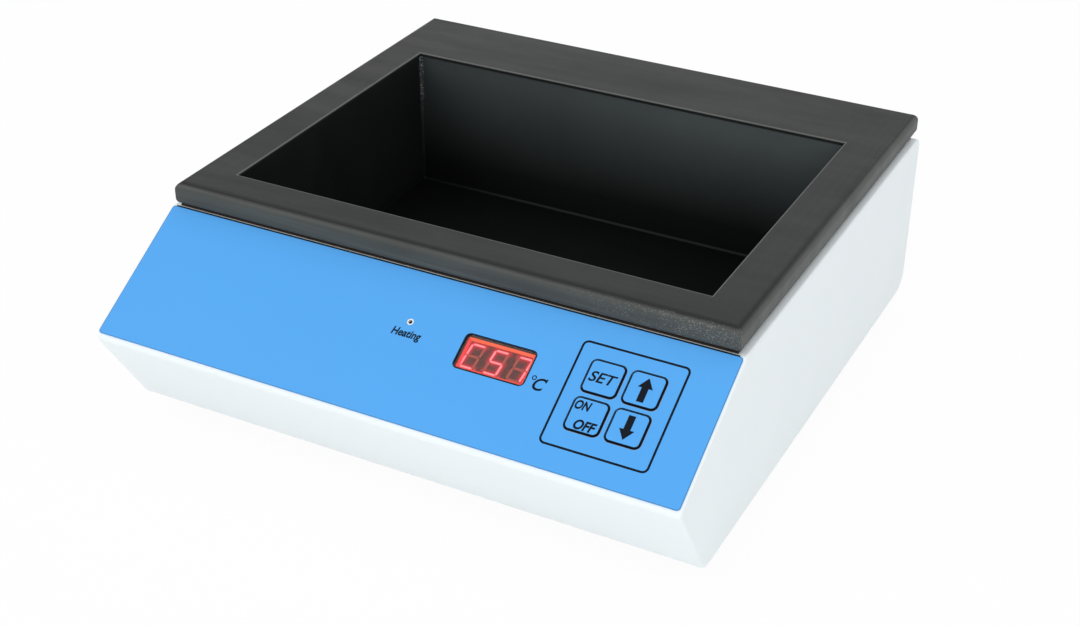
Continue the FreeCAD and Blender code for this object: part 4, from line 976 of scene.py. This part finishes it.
class WATERBATH_OT_display(bpy.types.Operator):
    """Make the display's face, its reflector walls and the bars of its three digits"""

    bl_idname = "water_bath.display"
    bl_label = "Display"

    def execute(self, context):
        sizes = context.scene.water_bath_display
        low, high = panel_span("display_module")
        well = high.z - 0.5 * MM
        floor = max(point.z for point in panel_points("display_module") if point.z < well)
        middle = (low + high) / 2
        half = (high - low) / 2 - Vector((sizes.face_border, sizes.face_border, 0))
        self.reflector(sizes, middle, half, floor + sizes.face_sheet,
                       panel_span("display_window")[0].z - 0.04 * MM)
        lit_lines = self.digits(context, middle.x - sizes.digit_shift, middle.y, floor + sizes.face_sheet)
        self.face(sizes, middle, half, floor + 0.01 * MM, lit_lines)
        return {"FINISHED"}

    def face(self, sizes, middle, half, floor, lit_lines):
        """Finely divided plate, each point with its share of the lit bars' light, for the painted glow."""
        shape = bmesh.new()
        bmesh.ops.create_grid(shape, x_segments=76, y_segments=38, size=0.5)
        bmesh.ops.scale(shape, vec=(2 * half.x, 2 * half.y, 1), verts=shape.verts[:])
        bmesh.ops.translate(shape, vec=(middle.x, middle.y, floor), verts=shape.verts[:])
        glow = shape.verts.layers.float.new("glow")
        for vert in shape.verts:
            gap = min(gap_to_line(vert.co.xy, line) for line in lit_lines)
            vert[glow] = math.exp(-(gap / sizes.halo) ** 2)
        thicken(shape, 0.04 * MM)
        finish_piece("display_face", shape, [face_finish()])

    def reflector(self, sizes, middle, half, floor, top):
        """Four walls inside the display's well, which glow with painted light for the digits' light they
        catch, the upper wall a lighter orange.
        """
        # Painted light: the walls glow, the upper one a lighter orange as the lit side.
        red = glowing("Reflector red", (0.3, 0.02, 0.02), (0.80, 0.030, 0.030), 0.9)
        orange = glowing("Reflector orange", (0.4, 0.08, 0.03), (0.86, 0.120, 0.032), 0.95)
        walls = printed_ring(area_of(middle - half, middle + half), floor, 0.4 * MM, sizes.reflector,
                             top - floor)
        upper_wall = middle.y + half.y * 0.88
        for face in walls.faces:
            face.material_index = int(face.calc_center_median().y > upper_wall)
        finish_piece("display_reflector", walls, [red, orange])

    def digits(self, context, middle_x, middle_s, floor):
        """Three digits of seven bars; the lit ones get a bright core, and their lines are given back."""
        sizes, tones = context.scene.water_bath_display, context.scene.water_bath_colours
        finishes = [glowing("Lit bar", (0.3, 0.02, 0.02), tones.lit, 1.0),
                    glowing("Lit core", (0.3, 0.1, 0.1), tones.core, 1.1),
                    # The unlit bars glow with painted light for what they throw back.
                    glowing("Unlit bar", (0.06, 0.02, 0.014), tones.ghost, 1.0)]
        lit_bar, lit_core, unlit_bar = range(3)
        h, w = sizes.digit_height / 2, sizes.digit_width / 2
        ends = {"a": ((-w, h), (w, h)), "g": ((-w, 0), (w, 0)), "d": ((-w, -h), (w, -h)),
                "f": ((-w, 0), (-w, h)), "b": ((w, 0), (w, h)), "e": ((-w, -h), (-w, 0)),
                "c": ((w, -h), (w, 0))}
        lit_lines = []
        for number, shown in enumerate(LIT_BARS):
            origin = Vector((middle_x + (number - 1) * sizes.digit_pitch, middle_s))
            shape = bmesh.new()
            for name, bar_ends in ends.items():
                line = [origin + Vector((x + s * math.tan(sizes.slant), s)) for x, s in bar_ends]
                finish = lit_bar if name in shown else unlit_bar
                join_in(shape, self.bar(sizes, line, sizes.bar_width, floor, finish))
                if name in shown:
                    core = self.bar(sizes, line, sizes.core_width, floor + sizes.bar_height, lit_core)
                    join_in(shape, core)
                    lit_lines.append(line)
            dot = flat_disc((origin.x + w + sizes.dot_gap, origin.y - h, floor), sizes.dot_radius, 16)
            thicken(dot, sizes.bar_height)
            tint(dot.faces, unlit_bar)
            join_in(shape, dot)
            finish_piece("digit_%d" % (number + 1), shape, finishes)
        return lit_lines

    def bar(self, sizes, line, width, floor, finish):
        """One six-sided bar with pointed ends along a line."""
        start, end = line
        along = (end - start).normalized()
        across, point = Vector((-along.y, along.x)) * width / 2, along * width / 2
        first, last = start + along * sizes.bar_gap, end - along * sizes.bar_gap
        outline = (first, first + point - across, last - point - across, last, last - point + across,
                   first + point + across)
        shape = slab(outline, floor, sizes.bar_height)
        tint(shape.faces, finish)
        return shape


class WATERBATH_OT_lamp(bpy.types.Operator):
    """Turn the heating lamp with its flange and domed lens, and the white collar in its hole"""

    bl_idname = "water_bath.lamp"
    bl_label = "Heating lamp"

    def execute(self, context):
        sizes = context.scene.water_bath_panel
        finishes = slot_finishes()
        low, high = panel_span("heating_lamp")
        middle = Vector(((low.x + high.x) / 2, (low.y + high.y) / 2, 0))
        flange = (high.x - low.x) / 2
        radius = flange - sizes.lamp_flange
        lens = self.lens_profile(sizes, flange, radius, high.z - low.z)
        made = finish_piece("indicator_lamp", turned(lens, 32), [finishes["lamp_plastic"]],
                            place=self.at(middle, low.z), smooth=40)
        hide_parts("heating_lamp")
        collar = self.collar_profile(sizes, radius)
        finish_piece("lamp_collar", turned(collar, 32), [finishes["white_nylon"]],
                     place=self.at(middle, 0), smooth=40)
        return {"FINISHED"}

    def at(self, middle, height):
        return panel_place() @ Matrix.Translation((middle.x, middle.y, height))

    def lens_profile(self, sizes, flange, radius, height):
        """Half the section of the lamp: flange, body and dome."""
        flange_top, steps = 1.0 * MM, 8
        shoulder = height - sizes.lamp_drop - sizes.lamp_dome
        profile = [(0, 0), (flange, 0), (flange, flange_top), (radius, flange_top), (radius, shoulder)]
        for step in range(1, steps + 1):
            turn = math.radians(90) * step / steps
            profile.append((radius * math.cos(turn), shoulder + sizes.lamp_dome * math.sin(turn)))
        return profile

    def collar_profile(self, sizes, radius):
        """Half the section of the collar: a sleeve in the sheet, with a brim and a lip on the film."""
        sleeve = radius + 0.08 * MM
        bore = sleeve - sizes.collar_wall
        brim, lip = radius + sizes.collar_brim, radius - sizes.collar_lip
        foot, seat, top = -1.25 * MM, 0.02 * MM, sizes.film_sheet + 0.02 * MM
        under = top - 0.22 * MM
        return [(bore, foot), (sleeve, foot), (sleeve, seat), (brim, seat), (brim, top), (lip, top),
                (lip, under), (bore, under), (bore, foot)]


# Half sections of the two kinds of screw head, in shares of their radius and height
PAN_HEAD = ((0, 0), (0.45, 0), (0.78, -0.12), (0.94, -0.38), (1, -0.7), (1, -1), (0, -1))
SUNK_HEAD = ((0, 0), (0.94, 0), (1, -0.05), (0.54, -1), (0, -1))


class WATERBATH_OT_screws(bpy.types.Operator):
    """Make the screw heads that show under the bath and round the mains inlet"""

    bl_idname = "water_bath.screws"
    bl_label = "Screws"

    def execute(self, context):
        down = Matrix.Rotation(math.pi, 4, "X")
        back = Matrix.Rotation(-math.pi / 2, 4, "X")
        self.replace_screws("base_screws", "base_screw_heads", down, PAN_HEAD)
        self.replace_screws("foot_screws", "foot_screw_heads", down, PAN_HEAD)
        self.replace_screws("inlet_screws", "inlet_screw_heads", back, SUNK_HEAD)
        return {"FINISHED"}

    def replace_screws(self, node, name, turn, section):
        """New screws for every one of a node, their heads down or to the back."""
        screws = bmesh.new()
        for low, high in islands(node):
            middle = (low + high) / 2
            if section is PAN_HEAD:
                spot = Vector((middle.x, middle.y, low.z))
                shank = (high.z - low.z) - SCREW_HEAD_HEIGHT
            else:
                spot = Vector((middle.x, high.y, middle.z))
                shank = (high.y - low.y) - SCREW_HEAD_HEIGHT
            screw = self.screw(section, (high.x - low.x) / 2, shank)
            bmesh.ops.transform(screw, matrix=Matrix.Translation(spot) @ turn, verts=screw.verts[:])
            join_in(screws, screw)
        steel = slot_finishes()["fastener_steel"]
        made = finish_piece(name, screws, [steel], place=Matrix.Identity(4))
        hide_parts(node)

    def screw(self, section, radius, shank):
        """A head with a cross recess, its face up at the origin, on its shank."""
        screw = bmesh.new()
        bmesh.ops.create_cone(screw, cap_ends=True, segments=24, radius1=SCREW_SHANK_RADIUS,
                              radius2=SCREW_SHANK_RADIUS, depth=shank)
        bmesh.ops.translate(screw, vec=(0, 0, -SCREW_HEAD_HEIGHT - shank / 2), verts=screw.verts[:])
        head = turned([(share * radius, height * SCREW_HEAD_HEIGHT) for share, height in section], 40)
        mesh = cut_out(head, self.cross(radius * 0.55))
        screw.from_mesh(mesh)
        bpy.data.meshes.remove(mesh)
        return screw

    def cross(self, reach):
        """Two tapered arms, which cut the recess for a screwdriver."""
        cross, thin = bmesh.new(), reach * 0.24
        for wide, deep in ((reach, thin), (thin, reach)):
            arm = bmesh.new()
            bmesh.ops.create_cube(arm, size=1)
            bmesh.ops.scale(arm, vec=(2 * wide, 2 * deep, SCREW_HEAD_HEIGHT), verts=arm.verts[:])
            low = [vert for vert in arm.verts if vert.co.z < 0]
            bmesh.ops.scale(arm, vec=(0.45, 0.45, 1), verts=low)
            join_in(cross, arm)
        return cross


class WATERBATH_OT_stage(bpy.types.Operator):
    """Set the pale floor, the soft light, the white surroundings and the camera"""

    bl_idname = "water_bath.stage"
    bl_label = "Stage"

    def execute(self, context):
        self.floor()
        self.surroundings(context.scene)
        self.softbox("front_left_softbox", (-1.1, -1.5, 1.7), 1.6, 15.0)
        self.softbox("right_softbox", (1.9, -0.4, 1.3), 1.5, 7.0)
        self.softbox("overhead_softbox", (0.0, 0.5, 2.2), 1.8, 9.0)
        self.softbox("low_front_softbox", (0.55, -1.7, 0.22), 1.1, 7.5)
        self.camera(context.scene)
        context.scene.view_settings.view_transform = "Standard"
        return {"FINISHED"}

    def floor(self):
        shape = bmesh.new()
        bmesh.ops.create_grid(shape, x_segments=8, y_segments=8, size=6.0)
        floor = added_object("floor", mesh_of("floor", shape))
        floor.data.materials.append(self.floor_finish())

    def floor_finish(self):
        """Pale floor: white where it is seen, with a part of its true shading for the shadow."""
        material = bpy.data.materials.new("Pale floor")
        material.use_nodes = True
        net = Net(material.node_tree)
        net.shade({"Base Color": (0.88, 0.88, 0.88), "Roughness": 0.9, "Specular IOR Level": 0.0})
        white = net.add("Emission", {"Color": (1, 1, 1)}).outputs["Emission"]
        share = net.math("MULTIPLY", net.seen_directly(), 0.95)
        end = net.nodes["Material Output"].inputs["Surface"]
        net.feed(end, net.blended(share, net.shader.outputs["BSDF"], white))
        return material

    def surroundings(self, scene):
        """White where the background is seen, and softer and cooler where it only lights."""
        world = bpy.data.worlds.new("White studio")
        world.use_nodes = True
        scene.world = world
        world.node_tree.nodes.clear()
        net = Net(world.node_tree)
        light = net.add("Background", {"Color": (0.97, 0.985, 1.0), "Strength": 0.62})
        white = net.add("Background", {"Color": (1, 1, 1), "Strength": 1.0})
        both = net.blended(net.seen_directly(), light.outputs["Background"], white.outputs["Background"])
        net.add("OutputWorld", {"Surface": both})

    def softbox(self, name, place, size, power):
        """A square lamp that faces the middle of the bath."""
        low, high = cad_box
        spot = Vector(place)
        lamp = bpy.data.lights.new(name, "AREA")
        lamp.shape = "SQUARE"
        lamp.size = size
        lamp.energy = power
        holder = added_object(name, lamp)
        holder.location = spot
        holder.rotation_euler = ((low + high) / 2 - spot).to_track_quat("-Z", "Y").to_euler()

    def camera(self, scene):
        """The photograph's view: azimuth, elevation and roll of the line of sight, and the lens."""
        azimuth, elevation, roll = (math.radians(a) for a in (27.36207, 30.90573, 0.24374))
        back = Vector((math.sin(azimuth) * math.cos(elevation), -math.cos(azimuth) * math.cos(elevation),
                       math.sin(elevation)))
        right = Vector((math.cos(azimuth), math.sin(azimuth), 0))
        up = back.cross(right)
        turned_right = right * math.cos(roll) + up * math.sin(roll)
        turned_up = up * math.cos(roll) - right * math.sin(roll)
        lens = bpy.data.cameras.new("camera")
        lens.lens = 59.06
        lens.sensor_width = 36.0
        lens.clip_start = 0.01
        low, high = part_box("top_rim")
        place = Matrix((turned_right, turned_up, back)).transposed().to_4x4()
        place.translation = Vector((0.39348, (low.y + high.y) / 2 - 0.78502, 0.54102))
        scene.camera = added_object("camera", lens)
        scene.camera.matrix_world = place


class WATERBATH_PT_sidebar(bpy.types.Panel):
    """Lists the steps and their sizes and colours"""

    bl_idname = "WATERBATH_PT_sidebar"
    bl_label = "Water Bath"
    bl_space_type = "VIEW_3D"
    bl_region_type = "UI"
    bl_category = "Water Bath"

    def draw(self, context):
        for step in STEPS:
            self.layout.operator(step.bl_idname)
        for name in GROUPS:
            group = getattr(context.scene, name)
            box = self.layout.box()
            for size in group.__annotations__:
                box.prop(group, size)


STEPS = (WATERBATH_OT_finishes, WATERBATH_OT_film_print, WATERBATH_OT_keys, WATERBATH_OT_legends,
         WATERBATH_OT_display, WATERBATH_OT_lamp, WATERBATH_OT_screws, WATERBATH_OT_stage)
GROUPS = {"water_bath_panel": PanelSizes, "water_bath_display": DisplaySizes,
          "water_bath_colours": BathColours}
CLASSES = (*GROUPS.values(), *STEPS, WATERBATH_PT_sidebar)


def register():
    for item in CLASSES:
        bpy.utils.register_class(item)
    for name, group in GROUPS.items():
        setattr(bpy.types.Scene, name, bpy.props.PointerProperty(type=group))


def unregister():
    for name in GROUPS:
        delattr(bpy.types.Scene, name)
    for item in reversed(CLASSES):
        bpy.utils.unregister_class(item)


def main():
    register()
    for step in STEPS:
        group, name = step.bl_idname.split(".")
        getattr(getattr(bpy.ops, group), name)()


if __name__ == "__main__":
    main()
